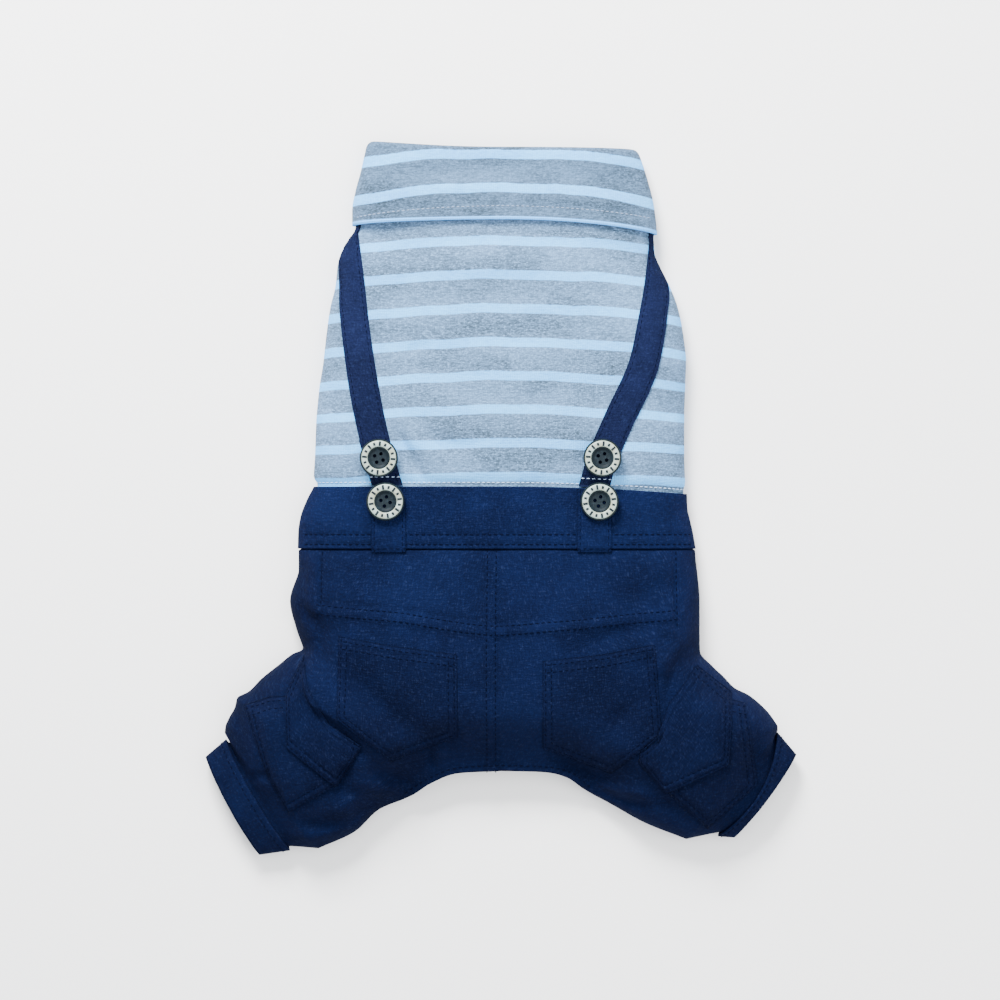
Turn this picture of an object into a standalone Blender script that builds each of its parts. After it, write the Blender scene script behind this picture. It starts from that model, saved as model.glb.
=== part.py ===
"""Dog suspender suit: striped jersey top, twill trousers, straps, pockets and buttons.

The suit lies flat on its belly. X runs across it, Y runs from the tail to the neck and
Z points up from the surface. Sizes are in millimetres. Until the last step y is measured
from the seam between waistband and trousers; the suit is then centred on its own box.
"""

import math
from collections import namedtuple

import bmesh
import bpy
import numpy as np
from mathutils import Vector
from mathutils.bvhtree import BVHTree

MM = 0.001

# Cloth walls and the clearance that sewn layers keep
JERSEY_WALL = 1.2
TWILL_WALL = 1.4
COLLAR_WALL = 1.3
STRAP_WALL = 1.8
PATCH_WALL = 1.5
LAYER_GAP = 0.35
NECK_GAP = 0.9
END_GAP = 0.6
SEAM_LAP = 3.5
STEP_OUT = 1.4

# Lengths along the back
COLLAR_DEPTH = 34.5
COLLAR_INSIDE = 24.0
NECK_SEAM_DROP = 9.0
SHIRT_LENGTH = 124.5
WAISTBAND_DEPTH = 29.0
RISE = 104.0
CUFF_DEPTH = 13.0
CUFF_END_BOW = 1.3

# Half widths across the back
COLLAR_HALF = 72.0
SHIRT_HALF = 87.0
WAIST_HALF = 93.0
LEG_REACH = 129.7
# The shirt's half width is this much less than the waistband's at the hem, and this much
# more than the collar's at the neck
HEM_EASE = 6.0
NECK_EASE = 15.0

# Heights above the surface, and the turn of the flattened sides
COLLAR_LOFT = 20.0
SHIRT_LOFT = 21.0
WAIST_LOFT = 20.0
SEAT_LOFT = 28.0
LEG_END_LOFT = 16.0
CUFF_END_LOFT = 13.5
SIDE_RIM = 7.0
SHOULDER = 30.0
LEG_SHOULDER = 24.0
UNDER_TURN = 7.0
HEM_FADE = 30.0
HEM_OPEN = 0.5

# Sewn-on strips and fastenings
STRAP_WIDTH = 14.0
SIDE_CLEAR = 1.2
STRAP_LEAST = 3.0
TAB_WIDTH = 16.0
TAB_TAIL = 1.6
BUTTON_RADIUS = 8.9
BUTTON_THICK = 3.4
BUTTON_SPACING = 20.2
BUTTON_RISE = 13.0
STRAP_BUTTON_TURN = math.radians(18)
WAIST_BUTTON_TURN = math.radians(32)
HOLE_RADIUS = 0.85
HOLE_CIRCLE = 2.2
RING_GAP = 0.3

# Armholes in the belly panel
ARMHOLE_HALF_WIDTH = 18.0
ARMHOLE_HALF_LENGTH = 24.0
ARMHOLE_X = 36.0
ARMHOLE_DROP = 44.0

AROUND = 16
LEG_AROUND = AROUND // 2
BUTTON_SIDES = 16

NAVY = (0.013, 0.034, 0.107)
DARK_NAVY = (0.010, 0.026, 0.085)
HEATHER = (0.36, 0.44, 0.50)
BLACK_GREEN = (0.020, 0.030, 0.034)
AGED_SILVER = (0.50, 0.53, 0.50)

# Outline of one section across the trunk: where it lies along its piece, how far it
# reaches left and right, how far its ends dip and how high it stands
Outline = namedtuple("Outline", "along left right dip_left dip_right top")

# along: share of COLLAR_DEPTH from the fold; reaches: of COLLAR_HALF; top: of COLLAR_LOFT
COLLAR = [
    Outline(0.00, 0.87, 0.89, -0.09, 0.02, 0.82),
    Outline(0.16, 0.89, 0.92, -0.06, 0.03, 0.87),
    Outline(0.36, 0.915, 0.955, -0.03, 0.06, 0.92),
    Outline(0.60, 0.95, 0.99, 0.00, 0.10, 0.97),
    Outline(0.82, 0.97, 1.01, 0.03, 0.14, 1.00),
    Outline(1.00, 0.97, 1.02, 0.06, 0.18, 1.01),
]
# along: share of SHIRT_LENGTH from the waistband; reaches: of shirt_half there
SHIRT = [
    Outline(0.05, 1.010, 0.995, 0.01, 0.03, 0.97),
    Outline(0.14, 1.003, 0.990, 0.02, 0.03, 1.00),
    Outline(0.27, 0.997, 0.990, 0.03, 0.03, 1.01),
    Outline(0.40, 0.980, 0.995, 0.03, 0.03, 1.00),
    Outline(0.50, 0.958, 1.000, 0.03, 0.03, 1.00),
    Outline(0.60, 0.942, 0.985, 0.03, 0.03, 0.99),
    Outline(0.70, 0.922, 0.957, 0.03, 0.03, 0.97),
    Outline(0.79, 0.892, 0.915, 0.03, 0.04, 0.94),
    Outline(0.87, 0.880, 0.865, 0.03, 0.05, 0.90),
    Outline(0.93, 0.850, 0.830, 0.03, 0.05, 0.86),
]
# along: share of WAISTBAND_DEPTH from the shirt; reaches: of WAIST_HALF
WAISTBAND = [
    Outline(0.00, 0.945, 0.940, 0.00, 0.12, 1.00),
    Outline(0.25, 0.985, 0.942, 0.00, 0.09, 1.01),
    Outline(0.50, 1.013, 0.957, 0.00, 0.06, 1.01),
    Outline(0.75, 1.024, 0.972, 0.00, 0.03, 1.01),
    Outline(1.00, 1.026, 0.984, 0.00, 0.00, 1.00),
]

# One section of a trouser half, from its outseam to the centre line, hem or inseam.
# out: share of the way from WAIST_HALF to LEG_REACH; inner: share of LEG_REACH;
# drops: shares of RISE; top: share of SEAT_LOFT
Fan = namedtuple("Fan", "out out_drop inner inner_drop top")
LEFT_FAN = [
    Fan(0.055, 0.05, 0.0, 0.05, 0.76),
    Fan(0.055, 0.10, 0.0, 0.12, 0.82),
    Fan(0.165, 0.235, 0.0, 0.25, 0.90),
    Fan(0.085, 0.36, 0.0, 0.39, 0.96),
    Fan(0.0, 0.45, 0.0, 0.56, 1.00),
    Fan(0.14, 0.478, 0.0, 0.71, 1.00),
    Fan(0.31, 0.526, 0.0, 0.86, 1.00),
    Fan(0.53, 0.588, 0.0, 1.00, 1.00),
    Fan(0.69, 0.645, 0.15, 1.010, 1.00),
    Fan(0.84, 0.675, 0.25, 1.055, 1.00),
    Fan(0.87, 0.717, 0.33, 1.12, 0.98),
    Fan(0.94, 0.762, 0.44, 1.178, 0.93),
    Fan(0.99, 0.802, 0.53, 1.28, 0.85),
    Fan(1.0, 0.83, 0.66, 1.354, 0.72),
]
RIGHT_FAN = [
    Fan(-0.04, 0.05, 0.0, 0.05, 0.76),
    Fan(-0.02, 0.11, 0.0, 0.12, 0.82),
    Fan(0.01, 0.24, 0.0, 0.25, 0.90),
    Fan(0.01, 0.39, 0.0, 0.39, 0.96),
    Fan(0.015, 0.465, 0.0, 0.56, 1.00),
    Fan(0.17, 0.53, 0.0, 0.71, 1.00),
    Fan(0.32, 0.58, 0.0, 0.86, 1.00),
    Fan(0.46, 0.63, 0.0, 1.00, 1.00),
    Fan(0.63, 0.66, 0.15, 1.005, 1.00),
    Fan(0.775, 0.70, 0.24, 1.03, 1.00),
    Fan(0.90, 0.745, 0.305, 1.09, 0.98),
    Fan(0.97, 0.78, 0.40, 1.155, 0.93),
    Fan(1.01, 0.805, 0.52, 1.238, 0.85),
    Fan(1.01, 0.82, 0.67, 1.312, 0.72),
]
FORK_ROW = 7
INSEAM_ROW = 10

# The end of a leg, and the way its band runs on from there: shares of LEG_REACH, RISE
# and CUFF_DEPTH. The seam between them bows towards the band.
LegEnd = namedtuple("LegEnd", "out out_drop inner inner_drop out_run inner_run bow")
LEFT_END = LegEnd(-0.996, 0.862, -0.764, 1.364, (-0.73, -0.63), (-1.10, -0.16), 0.10)
RIGHT_END = LegEnd(1.002, 0.830, 0.786, 1.300, (0.68, -0.80), (0.58, -0.05), 0.50)

# Folds in the trousers: x shares of LEG_REACH, drops as shares of RISE, then the half
# width and the height in shares of SEAT_LOFT
Fold = namedtuple("Fold", "x0 drop0 x1 drop1 width height")
FOLDS = [
    Fold(-0.71, 0.46, -0.58, 0.78, 0.26, 0.11),
    Fold(-0.58, 0.78, -0.40, 0.95, 0.26, 0.09),
    Fold(-0.56, 0.53, -0.45, 0.70, 0.26, -0.11),
    Fold(-0.45, 0.70, -0.22, 0.87, 0.26, -0.10),
    Fold(-0.54, 0.98, -0.52, 1.16, 0.30, -0.14),
    Fold(0.22, 0.48, 0.55, 0.33, 0.28, -0.09),
    Fold(0.69, 0.53, 0.58, 0.80, 0.28, -0.11),
    Fold(0.48, 0.95, 0.58, 1.10, 0.28, -0.10),
]

# Middle lines of the straps: share of the way from waistband to collar, then share of
# shirt_half
STRAP_LINE = {
    "left": [(0.0, -0.61), (0.18, -0.68), (0.37, -0.735), (0.60, -0.785), (0.80, -0.818), (1.0, -0.858)],
    "right": [(0.0, 0.50), (0.10, 0.54), (0.26, 0.635), (0.48, 0.768), (0.62, 0.81), (0.78, 0.85), (1.0, 0.888)],
}
# columns across a strap, closer together towards the shirt's side
STRAP_COLUMNS = (0.0, 0.4, 0.7, 0.88, 1.0)
TAB_X = {"left": -0.563, "right": 0.468}
TAB_BUTTON_SHIFT = {"left": -1.2, "right": 2.4}

# Patches on the trousers: upper and lower edge, each as (x share of LEG_REACH, drop as
# a share of RISE)
Patch = namedtuple("Patch", "upper lower columns rows")
PATCHES = {
    "back_pocket_left": Patch(
        [(-0.580, 0.39), (-0.370, 0.435), (-0.158, 0.47)],
        [(-0.585, 0.755), (-0.390, 0.95), (-0.155, 0.84)],
        6, 6,
    ),
    "back_pocket_right": Patch(
        [(0.150, 0.50), (0.364, 0.47), (0.549, 0.425)],
        [(0.150, 0.895), (0.393, 1.01), (0.574, 0.83)],
        6, 6,
    ),
    "cargo_pocket_left": Patch(
        [(-0.925, 0.70), (-0.830, 0.66), (-0.725, 0.65)],
        [(-0.835, 1.02), (-0.762, 1.18), (-0.575, 1.045)],
        6, 6,
    ),
    "cargo_pocket_right": Patch(
        [(0.700, 0.68), (0.790, 0.66), (0.880, 0.69)],
        [(0.595, 1.09), (0.745, 1.26), (0.925, 1.06)],
        6, 6,
    ),
    "cargo_flap_left": Patch(
        [(-0.710, 0.48), (-0.690, 0.62), (-0.615, 0.78), (-0.495, 0.88)],
        [(-0.770, 0.64), (-0.765, 0.885), (-0.590, 1.065), (-0.515, 0.92)],
        9, 4,
    ),
    "cargo_flap_right": Patch(
        [(0.705, 0.52), (0.600, 0.69), (0.560, 0.83), (0.500, 0.90)],
        [(0.830, 0.64), (0.815, 0.965), (0.588, 1.095), (0.490, 0.95)],
        9, 4,
    ),
}


def smooth_step(t):
    t = min(max(t, 0.0), 1.0)
    return t * t * (3 - 2 * t)


def round_turn(t):
    """How far a flattened side has risen, t shoulder lengths in from its fold."""
    return math.sqrt(1 - (1 - min(max(t, 0.0), 1.0)) ** 2)


def between(table, along):
    """The outline at a share along a piece, straight between its table's rows."""
    stations = [row.along for row in table]
    return Outline(*(float(np.interp(along, stations, column)) for column in zip(*table)))


def along_line(points, share):
    """The point at a share of a polyline's length."""
    points = np.array(points, float)
    run = np.concatenate([[0], np.cumsum(np.linalg.norm(np.diff(points, axis=0), axis=1))])
    return np.array([np.interp(share * run[-1], run, column) for column in points.T])


def line_distance(x, y, line):
    """Distance from a point to a polyline, in plan."""
    best = math.inf
    for (x0, y0), (x1, y1) in zip(line, line[1:]):
        dx, dy = x1 - x0, y1 - y0
        t = min(max(((x - x0) * dx + (y - y0) * dy) / (dx * dx + dy * dy), 0), 1)
        best = min(best, math.hypot(x - x0 - t * dx, y - y0 - t * dy))
    return best


def flat_section(start, end, top, inset=0.0, dips=(0.0, 0.0), bow=(0.0, 0.0), around=AROUND, shoulder=SHOULDER):
    """A flattened tube's section from start to end in plan: over the top and back below.

    inset shrinks it on every side, dips drop its two ends along -Y, and bow moves its
    middle.
    """
    start, end = Vector(start), Vector(end)
    width = (end - start).length
    half = width / 2 - inset
    rise = top - inset - SIDE_RIM
    fall = SIDE_RIM - inset
    over, under = [], []
    for step in range(around + 1):
        across = -math.cos(math.pi * step / around)
        place = (start + end) / 2 + (end - start) / width * half * across
        place.y -= dips[across > 0] * across**2
        place += Vector(bow) * (1 - across**2)
        edge = half * (1 - abs(across))
        over.append((place.x, place.y, SIDE_RIM + rise * round_turn(edge / shoulder)))
        under.append((place.x, place.y, SIDE_RIM - fall * round_turn(edge / UNDER_TURN)))
    return over + under[-2:0:-1]


def trunk_section(outline, y, half, loft, dip_scale, inset=0.0):
    dips = (outline.dip_left * dip_scale, outline.dip_right * dip_scale)
    start, end = (-outline.left * half, y), (outline.right * half, y)
    return flat_section(start, end, outline.top * loft, inset, dips)


def collar_section(y, inset):
    row = between(COLLAR, (collar_fold_y() - y) / COLLAR_DEPTH)
    return trunk_section(row, y, COLLAR_HALF, COLLAR_LOFT, COLLAR_DEPTH, inset)


def waistband_section(y, inset):
    row = between(WAISTBAND, 1 - y / WAISTBAND_DEPTH)
    return trunk_section(row, y, WAIST_HALF, WAIST_LOFT, WAISTBAND_DEPTH, inset)


def collar_edge_y():
    return WAISTBAND_DEPTH + SHIRT_LENGTH


def collar_fold_y():
    return collar_edge_y() + COLLAR_DEPTH


def leg_end(side, along, inset, leg):
    """A section of the leg's band, at a share of the way from the leg to its open end."""
    out = Vector((leg.out * LEG_REACH, -leg.out_drop * RISE))
    inner = Vector((leg.inner * LEG_REACH, -leg.inner_drop * RISE))
    out += Vector(leg.out_run) * CUFF_DEPTH * along
    inner += Vector(leg.inner_run) * CUFF_DEPTH * along
    top = LEG_END_LOFT + (CUFF_END_LOFT - LEG_END_LOFT) * along
    bow = leg.bow * CUFF_DEPTH + (CUFF_END_BOW - leg.bow * CUFF_DEPTH) * along
    bow *= (Vector(leg.out_run) + Vector(leg.inner_run)).normalized()
    ends = (out, inner) if side < 0 else (inner, out)
    return flat_section(*ends, top, inset, bow=bow, around=LEG_AROUND, shoulder=LEG_SHOULDER)


def material(name, colour, roughness, metallic=0.0):
    made = bpy.data.materials.new(name)
    made.use_nodes = True
    shader = made.node_tree.nodes["Principled BSDF"]
    shader.inputs["Base Color"].default_value = (*colour, 1.0)
    shader.inputs["Roughness"].default_value = roughness
    shader.inputs["Metallic"].default_value = metallic
    made.diffuse_color = (*colour, 1.0)
    return made


def add_object(name, mesh, finish, suit, collection):
    mesh.materials.append(finish)
    mesh.shade_smooth()
    mesh.set_sharp_from_angle(angle=math.radians(50))
    piece = bpy.data.objects.new(name, mesh)
    collection.objects.link(piece)
    piece.parent = suit
    return piece


def surface_mesh(name, points, faces):
    mesh = bpy.data.meshes.new(name)
    mesh.from_pydata([Vector(point) * MM for point in points], [], faces)
    return mesh


def solidify(piece, wall, outward=False):
    """A cloth wall under the piece's surface, or on top of it."""
    shell = piece.modifiers.new("wall", "SOLIDIFY")
    shell.thickness = wall * MM
    shell.offset = 1.0 if outward else -1.0
    shell.use_even_offset = True
    shell.thickness_clamp = 0.0


def tube(name, sections, wall, finish, suit, collection):
    """An open tube through closed sections of equal length, listed towards the neck."""
    around = len(sections[0])
    points = [point for section in sections for point in section]
    faces = []
    for row in range(len(sections) - 1):
        for step in range(around):
            a, b = row * around + step, row * around + (step + 1) % around
            faces.append((a, b, b + around, a + around))
    piece = add_object(name, surface_mesh(name, points, faces), finish, suit, collection)
    solidify(piece, wall)
    return piece


def make_collar(finish, suit, collection):
    """A turned-down band: its outer layer, the fold, and the layer inside the neck."""
    stack = 2 * COLLAR_WALL + JERSEY_WALL + LAYER_GAP + NECK_GAP
    fold_radius = stack / 2
    fold_y = collar_fold_y()
    sections = [
        collar_section(fold_y - row.along * COLLAR_DEPTH, 0) for row in reversed(COLLAR[1:])
    ]
    for turn in range(5):
        angle = math.pi * turn / 4
        inset = fold_radius * (1 - math.cos(angle))
        sections.append(collar_section(fold_y - fold_radius * (1 - math.sin(angle)), inset))
    for share in (0.5, 1.0):
        sections.append(collar_section(fold_y - COLLAR_INSIDE * share, stack))
    return tube("collar", sections, COLLAR_WALL, finish, suit, collection)


def shirt_half(along):
    """The half width of the shirt: its own in the middle, the waistband's and the
    collar's with their eases at the hem and at the neck."""
    hem = WAIST_HALF - HEM_EASE - SHIRT_HALF
    neck = COLLAR_HALF + NECK_EASE - SHIRT_HALF
    return SHIRT_HALF + hem * (1 - smooth_step(along / 0.4)) + neck * smooth_step((along - 0.6) / 0.4)


def make_shirt(finish, suit, collection):
    """The trunk, its hem inside the waistband and its neck edge inside the collar."""
    band_tuck = TWILL_WALL + LAYER_GAP
    neck_tuck = COLLAR_WALL + LAYER_GAP
    sections = [
        waistband_section(WAISTBAND_DEPTH - SEAM_LAP, band_tuck),
        waistband_section(WAISTBAND_DEPTH, band_tuck),
    ]
    edge = trunk_section(WAISTBAND[0], WAISTBAND_DEPTH + STEP_OUT, WAIST_HALF, WAIST_LOFT, WAISTBAND_DEPTH, band_tuck)
    sections.append(edge)
    for row in SHIRT:
        y = WAISTBAND_DEPTH + row.along * SHIRT_LENGTH
        sections.append(trunk_section(row, y, shirt_half(row.along), SHIRT_LOFT, SHIRT_LENGTH))
    last = COLLAR[-1]
    edge = trunk_section(last, collar_edge_y() - STEP_OUT, COLLAR_HALF, COLLAR_LOFT, COLLAR_DEPTH, neck_tuck + 0.3)
    sections.append(edge)
    neck_top = collar_fold_y() - NECK_SEAM_DROP
    for share in (0.0, 0.35, 0.7, 1.0):
        y = collar_edge_y() + (neck_top - collar_edge_y()) * share
        sections.append(collar_section(y, neck_tuck))
    return tube("shirt_body", sections, JERSEY_WALL, finish, suit, collection)


def make_waistband(finish, suit, collection):
    sections = [
        waistband_section(WAISTBAND_DEPTH * (1 - row.along), 0) for row in reversed(WAISTBAND)
    ]
    return tube("waistband", sections, TWILL_WALL, finish, suit, collection)


def make_cuff(name, side, leg, finish, suit, collection):
    sections = [leg_end(side, share, 0, leg) for share in (1.0, 0.5, 0.0)]
    return tube(name, sections, TWILL_WALL, finish, suit, collection)


def fan_ends(row, side):
    """Plan points of a fan section's outseam end and inner end."""
    out = side * (WAIST_HALF + (LEG_REACH - WAIST_HALF) * row.out)
    return (out, -row.out_drop * RISE), (side * row.inner * LEG_REACH, -row.inner_drop * RISE)


def fold_lift(x, y):
    """How far the trousers' folds raise or lower a point of the upper layer."""
    lift = 0.0
    for fold in FOLDS:
        line = [(fold.x0 * LEG_REACH, -fold.drop0 * RISE), (fold.x1 * LEG_REACH, -fold.drop1 * RISE)]
        away = line_distance(x, y, line) / (fold.width * SEAT_LOFT)
        lift += fold.height * SEAT_LOFT * math.exp(-(away**2))
    return lift


class TrouserGrid:
    """The upper and lower layer of both legs as one surface with shared seams."""

    def __init__(self):
        self.points = []
        self.faces = []
        self.tables = {-1: LEFT_FAN, 1: RIGHT_FAN}
        self.ends = {side: [fan_ends(row, side) for row in fan] for side, fan in self.tables.items()}
        self.seams = []
        self.hem = []
        for side in (-1, 1):
            self.seams.append([ends[0] for ends in self.ends[side]])
            self.seams.append([ends[1] for ends in self.ends[side][INSEAM_ROW:]])
            hem = [ends[1] for ends in self.ends[side][FORK_ROW : INSEAM_ROW + 1]]
            self.hem.append(hem)

    def heights(self, x, y, top):
        """Upper and lower surface at a plan point, in a section of this height."""
        edge = min(line_distance(x, y, seam) for seam in self.seams)
        hem = min(line_distance(x, y, hem) for hem in self.hem)
        top *= 1 - HEM_OPEN * (1 - smooth_step(hem / HEM_FADE))
        rise = (top - SIDE_RIM + fold_lift(x, y)) * round_turn(edge / LEG_SHOULDER)
        return SIDE_RIM + rise, SIDE_RIM * (1 - round_turn(edge / UNDER_TURN))

    def add(self, point):
        self.points.append(point)
        return len(self.points) - 1

    def half_row(self, side, number, centre):
        """Vertex numbers of one half's section, outseam to inner end, upper then lower."""
        row = self.tables[side][number]
        (ox, oy), (ix, iy) = self.ends[side][number]
        closed = smooth_step((number - FORK_ROW) / (INSEAM_ROW - FORK_ROW))
        upper, lower = [], []
        for step in range(LEG_AROUND + 1):
            t = step / LEG_AROUND
            one_end = 1 - math.cos(math.pi * t / 2)
            two_ends = (1 - math.cos(math.pi * t)) / 2
            share = one_end + (two_ends - one_end) * closed
            x, y = ox + (ix - ox) * share, oy + (iy - oy) * share
            high, low = self.heights(x, y, row.top * SEAT_LOFT)
            if step == LEG_AROUND and centre:
                upper.append(centre[0])
                lower.append(centre[1])
                continue
            upper.append(self.add((x, y, high)))
            at_seam = step == 0 or (step == LEG_AROUND and number >= INSEAM_ROW)
            lower.append(upper[-1] if at_seam else self.add((x, y, low)))
        return upper, lower

    def centre_pair(self, number):
        """The two vertices on the centre line that both halves share."""
        row = LEFT_FAN[number]
        y = -row.inner_drop * RISE
        high, low = self.heights(0.0, y, row.top * SEAT_LOFT)
        return self.add((0.0, y, high)), self.add((0.0, y, low))

    def section_row(self, section, side=None):
        """Vertex numbers of a ready section: a leg's, or the left and right half of the trunk's."""
        numbers = [self.add(point) for point in section]
        if side is not None:
            upper = numbers[: LEG_AROUND + 1]
            lower = [upper[0]] + numbers[:LEG_AROUND:-1] + [upper[-1]]
            if side > 0:
                upper, lower = upper[::-1], lower[::-1]
            return upper, lower
        upper = numbers[: AROUND + 1]
        lower = [upper[0]] + numbers[:AROUND:-1] + [upper[-1]]
        half = AROUND // 2
        return {
            -1: (upper[: half + 1], lower[: half + 1]),
            1: (upper[: half - 1 : -1], lower[: half - 1 : -1]),
        }

    def join(self, first, second, side):
        """Faces between two neighbouring rows of one half, both layers."""
        for layer, turned in zip(range(2), (side > 0, side < 0)):
            a, b = first[layer], second[layer]
            for step in range(LEG_AROUND):
                face = [a[step], b[step], b[step + 1], a[step + 1]]
                self.faces.append(face[::-1] if turned else face)


def make_trousers(finish, suit, collection):
    grid = TrouserGrid()
    tuck = TWILL_WALL + LAYER_GAP
    below = trunk_section(WAISTBAND[-1], -STEP_OUT, WAIST_HALF, WAIST_LOFT, WAISTBAND_DEPTH, tuck)
    waist_rows = [
        grid.section_row(waistband_section(SEAM_LAP, tuck)),
        grid.section_row(waistband_section(0, tuck)),
        grid.section_row(below),
    ]
    rows = {side: [row[side] for row in waist_rows] for side in (-1, 1)}
    centres = [grid.centre_pair(number) for number in range(FORK_ROW + 1)]
    for side, leg in ((-1, LEFT_END), (1, RIGHT_END)):
        for number in range(len(LEFT_FAN)):
            centre = centres[number] if number <= FORK_ROW else None
            rows[side].append(grid.half_row(side, number, centre))
        for share in (-STEP_OUT / CUFF_DEPTH, 0.0, SEAM_LAP / CUFF_DEPTH):
            rows[side].append(grid.section_row(leg_end(side, share, tuck + LAYER_GAP, leg), side))
        for first, second in zip(rows[side], rows[side][1:]):
            grid.join(first, second, side)
    mesh = surface_mesh("trousers", grid.points, grid.faces)
    piece = add_object("trousers", mesh, finish, suit, collection)
    solidify(piece, TWILL_WALL)
    return piece


class Ground:
    """What a sewn-on piece lies on: the highest of some pieces at a plan point."""

    def __init__(self, pieces):
        graph = bpy.context.evaluated_depsgraph_get()
        self.trees = [BVHTree.FromObject(piece, graph) for piece in pieces]

    def height(self, x, y, towards):
        """Height at a point, or at the nearest one on the way to a point that has one."""
        for step in range(21):
            place = Vector((x, y)).lerp(towards, step / 20)
            start = Vector((place.x * MM, place.y * MM, 1.0))
            hits = [tree.ray_cast(start, Vector((0, 0, -1)))[0] for tree in self.trees]
            found = [hit.z / MM for hit in hits if hit is not None]
            if found:
                return max(found)
        return SIDE_RIM


def laid(plan, ground, gap):
    """Heights for a grid of plan points, so that no cell of it dips into the ground."""
    rows, columns = len(plan), len(plan[0])
    middle = Vector(np.mean([point for row in plan for point in row], axis=0))
    heights = np.array([[ground.height(x, y, middle) + gap for x, y in row] for row in plan])
    shares = np.linspace(0, 1, 11)
    plan = np.array(plan)
    for _ in range(5):
        lift = np.zeros_like(heights)
        for i in range(rows - 1):
            for j in range(columns - 1):
                corners = [(i, j), (i + 1, j), (i + 1, j + 1), (i, j + 1)]
                short = 0.0
                for s in shares:
                    for t in shares:
                        # each cell is two triangles, split from its first corner
                        weights = (1 - s, s - t, t, 0) if s >= t else (1 - t, 0, s, t - s)
                        x, y = sum(w * plan[corner] for w, corner in zip(weights, corners))
                        here = sum(w * heights[corner] for w, corner in zip(weights, corners))
                        short = max(short, ground.height(x, y, middle) + gap - here)
                for corner in corners:
                    lift[corner] = max(lift[corner], short)
        heights += lift
        if lift.max() < 0.02:
            break
    return heights


def make_patch(name, plan, wall, ground, finish, suit, collection):
    """A flat piece of cloth from a grid of plan points, laid on the ground."""
    rows, columns = len(plan), len(plan[0])
    heights = laid(plan, ground, LAYER_GAP)
    points = [(*plan[i][j], heights[i, j]) for i in range(rows) for j in range(columns)]
    faces = []
    for i in range(rows - 1):
        for j in range(columns - 1):
            a, b = i * columns + j, (i + 1) * columns + j
            faces += [(a, b, b + 1), (a, b + 1, a + 1)]
    (x0, y0), (x1, y1), (x2, y2) = plan[0][0], plan[-1][0], plan[-1][-1]
    if (x1 - x0) * (y2 - y0) - (x2 - x0) * (y1 - y0) < 0:
        faces = [face[::-1] for face in faces]
    piece = add_object(name, surface_mesh(name, points, faces), finish, suit, collection)
    solidify(piece, wall, outward=True)
    return piece


def patch_plan(patch):
    """Plan points between a patch's upper and lower edge."""
    scale = np.array([LEG_REACH, -RISE])
    plan = []
    for row in range(patch.rows + 1):
        t = row / patch.rows
        line = []
        for column in range(patch.columns + 1):
            s = column / patch.columns
            upper = along_line(patch.upper, s) * scale
            lower = along_line(patch.lower, s) * scale
            line.append(tuple(upper + (lower - upper) * t))
        plan.append(line)
    return plan


def collar_edge_at(x):
    """Where the collar's lower edge crosses a lengthwise line."""
    last = COLLAR[-1]
    left, right = last.left * COLLAR_HALF, last.right * COLLAR_HALF
    across = (x - (right - left) / 2) / ((left + right) / 2)
    dip = last.dip_right if across > 0 else last.dip_left
    return collar_edge_y() - dip * COLLAR_DEPTH * min(across**2, 1.0)


def waistband_edge_at(x):
    first = WAISTBAND[0]
    left, right = first.left * WAIST_HALF, first.right * WAIST_HALF
    across = (x - (right - left) / 2) / ((left + right) / 2)
    dip = first.dip_right if across > 0 else first.dip_left
    return WAISTBAND_DEPTH * (1 - dip * min(across**2, 1.0))


def strap_middle(side, share):
    shares, xs = zip(*STRAP_LINE[side])
    return float(np.interp(share, shares, xs)) * shirt_half(share)


def shirt_reach(side, y):
    """How far the shirt reaches from the middle to one side at a height."""
    rows = [(row.along * SHIRT_LENGTH, getattr(row, side) * shirt_half(row.along)) for row in SHIRT]
    rows.append((SHIRT_LENGTH, getattr(COLLAR[-1], side) * COLLAR_HALF - COLLAR_WALL - NECK_GAP))
    heights, reaches = zip(*rows)
    return float(np.interp(y - WAISTBAND_DEPTH, heights, reaches))


def strap_plan(side):
    """Columns across the strap, from the waistband's edge to the collar's. Seen in plan
    it narrows where it turns down the shirt's side."""
    stations = 13
    towards = -1 if side == "left" else 1
    plan = []
    for row in range(stations + 1):
        share = row / stations
        middle = strap_middle(side, share)
        run = (strap_middle(side, min(share + 0.05, 1)) - strap_middle(side, max(share - 0.05, 0))) / (
            SHIRT_LENGTH * (min(share + 0.05, 1) - max(share - 0.05, 0))
        )
        half = STRAP_WIDTH / 2 * math.hypot(1, run)
        reach = shirt_reach(side, WAISTBAND_DEPTH + share * SHIRT_LENGTH) - SIDE_CLEAR
        inner = towards * min(abs(middle) - half, reach - STRAP_LEAST)
        outer = towards * min(abs(middle) + half, reach)
        line = []
        for across in STRAP_COLUMNS:
            x = inner + (outer - inner) * across
            low, high = waistband_edge_at(x) + END_GAP, collar_edge_at(x) - END_GAP
            line.append((x, low + (high - low) * share))
        plan.append(line)
    return plan


def tab_plan(side):
    middle = TAB_X[side] * WAIST_HALF
    plan = []
    for share in np.linspace(0, 1, 8):
        line = []
        for across in (-0.5, 0.0, 0.5):
            x = middle + across * TAB_WIDTH
            high = waistband_edge_at(x) - END_GAP
            line.append((x, high + (-TAB_TAIL - high) * share))
        plan.append(line)
    return plan


# Turned halves of a button and of the ring in its face: shares of BUTTON_RADIUS and of
# BUTTON_THICK, from the middle of the face outwards and down
BUTTON_PROFILE = [(0.0, 0.56), (0.42, 0.56), (0.55, 0.80), (0.58, 0.72), (0.915, 0.72), (0.93, 0.92)]
BUTTON_PROFILE += [(0.985, 0.86), (1.0, 0.60), (0.96, 0.25), (0.80, 0.0), (0.0, 0.0)]
RING_INNER, RING_OUTER, RING_SEAT, RING_TOP = 0.58, 0.915, 0.72, 0.99


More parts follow.
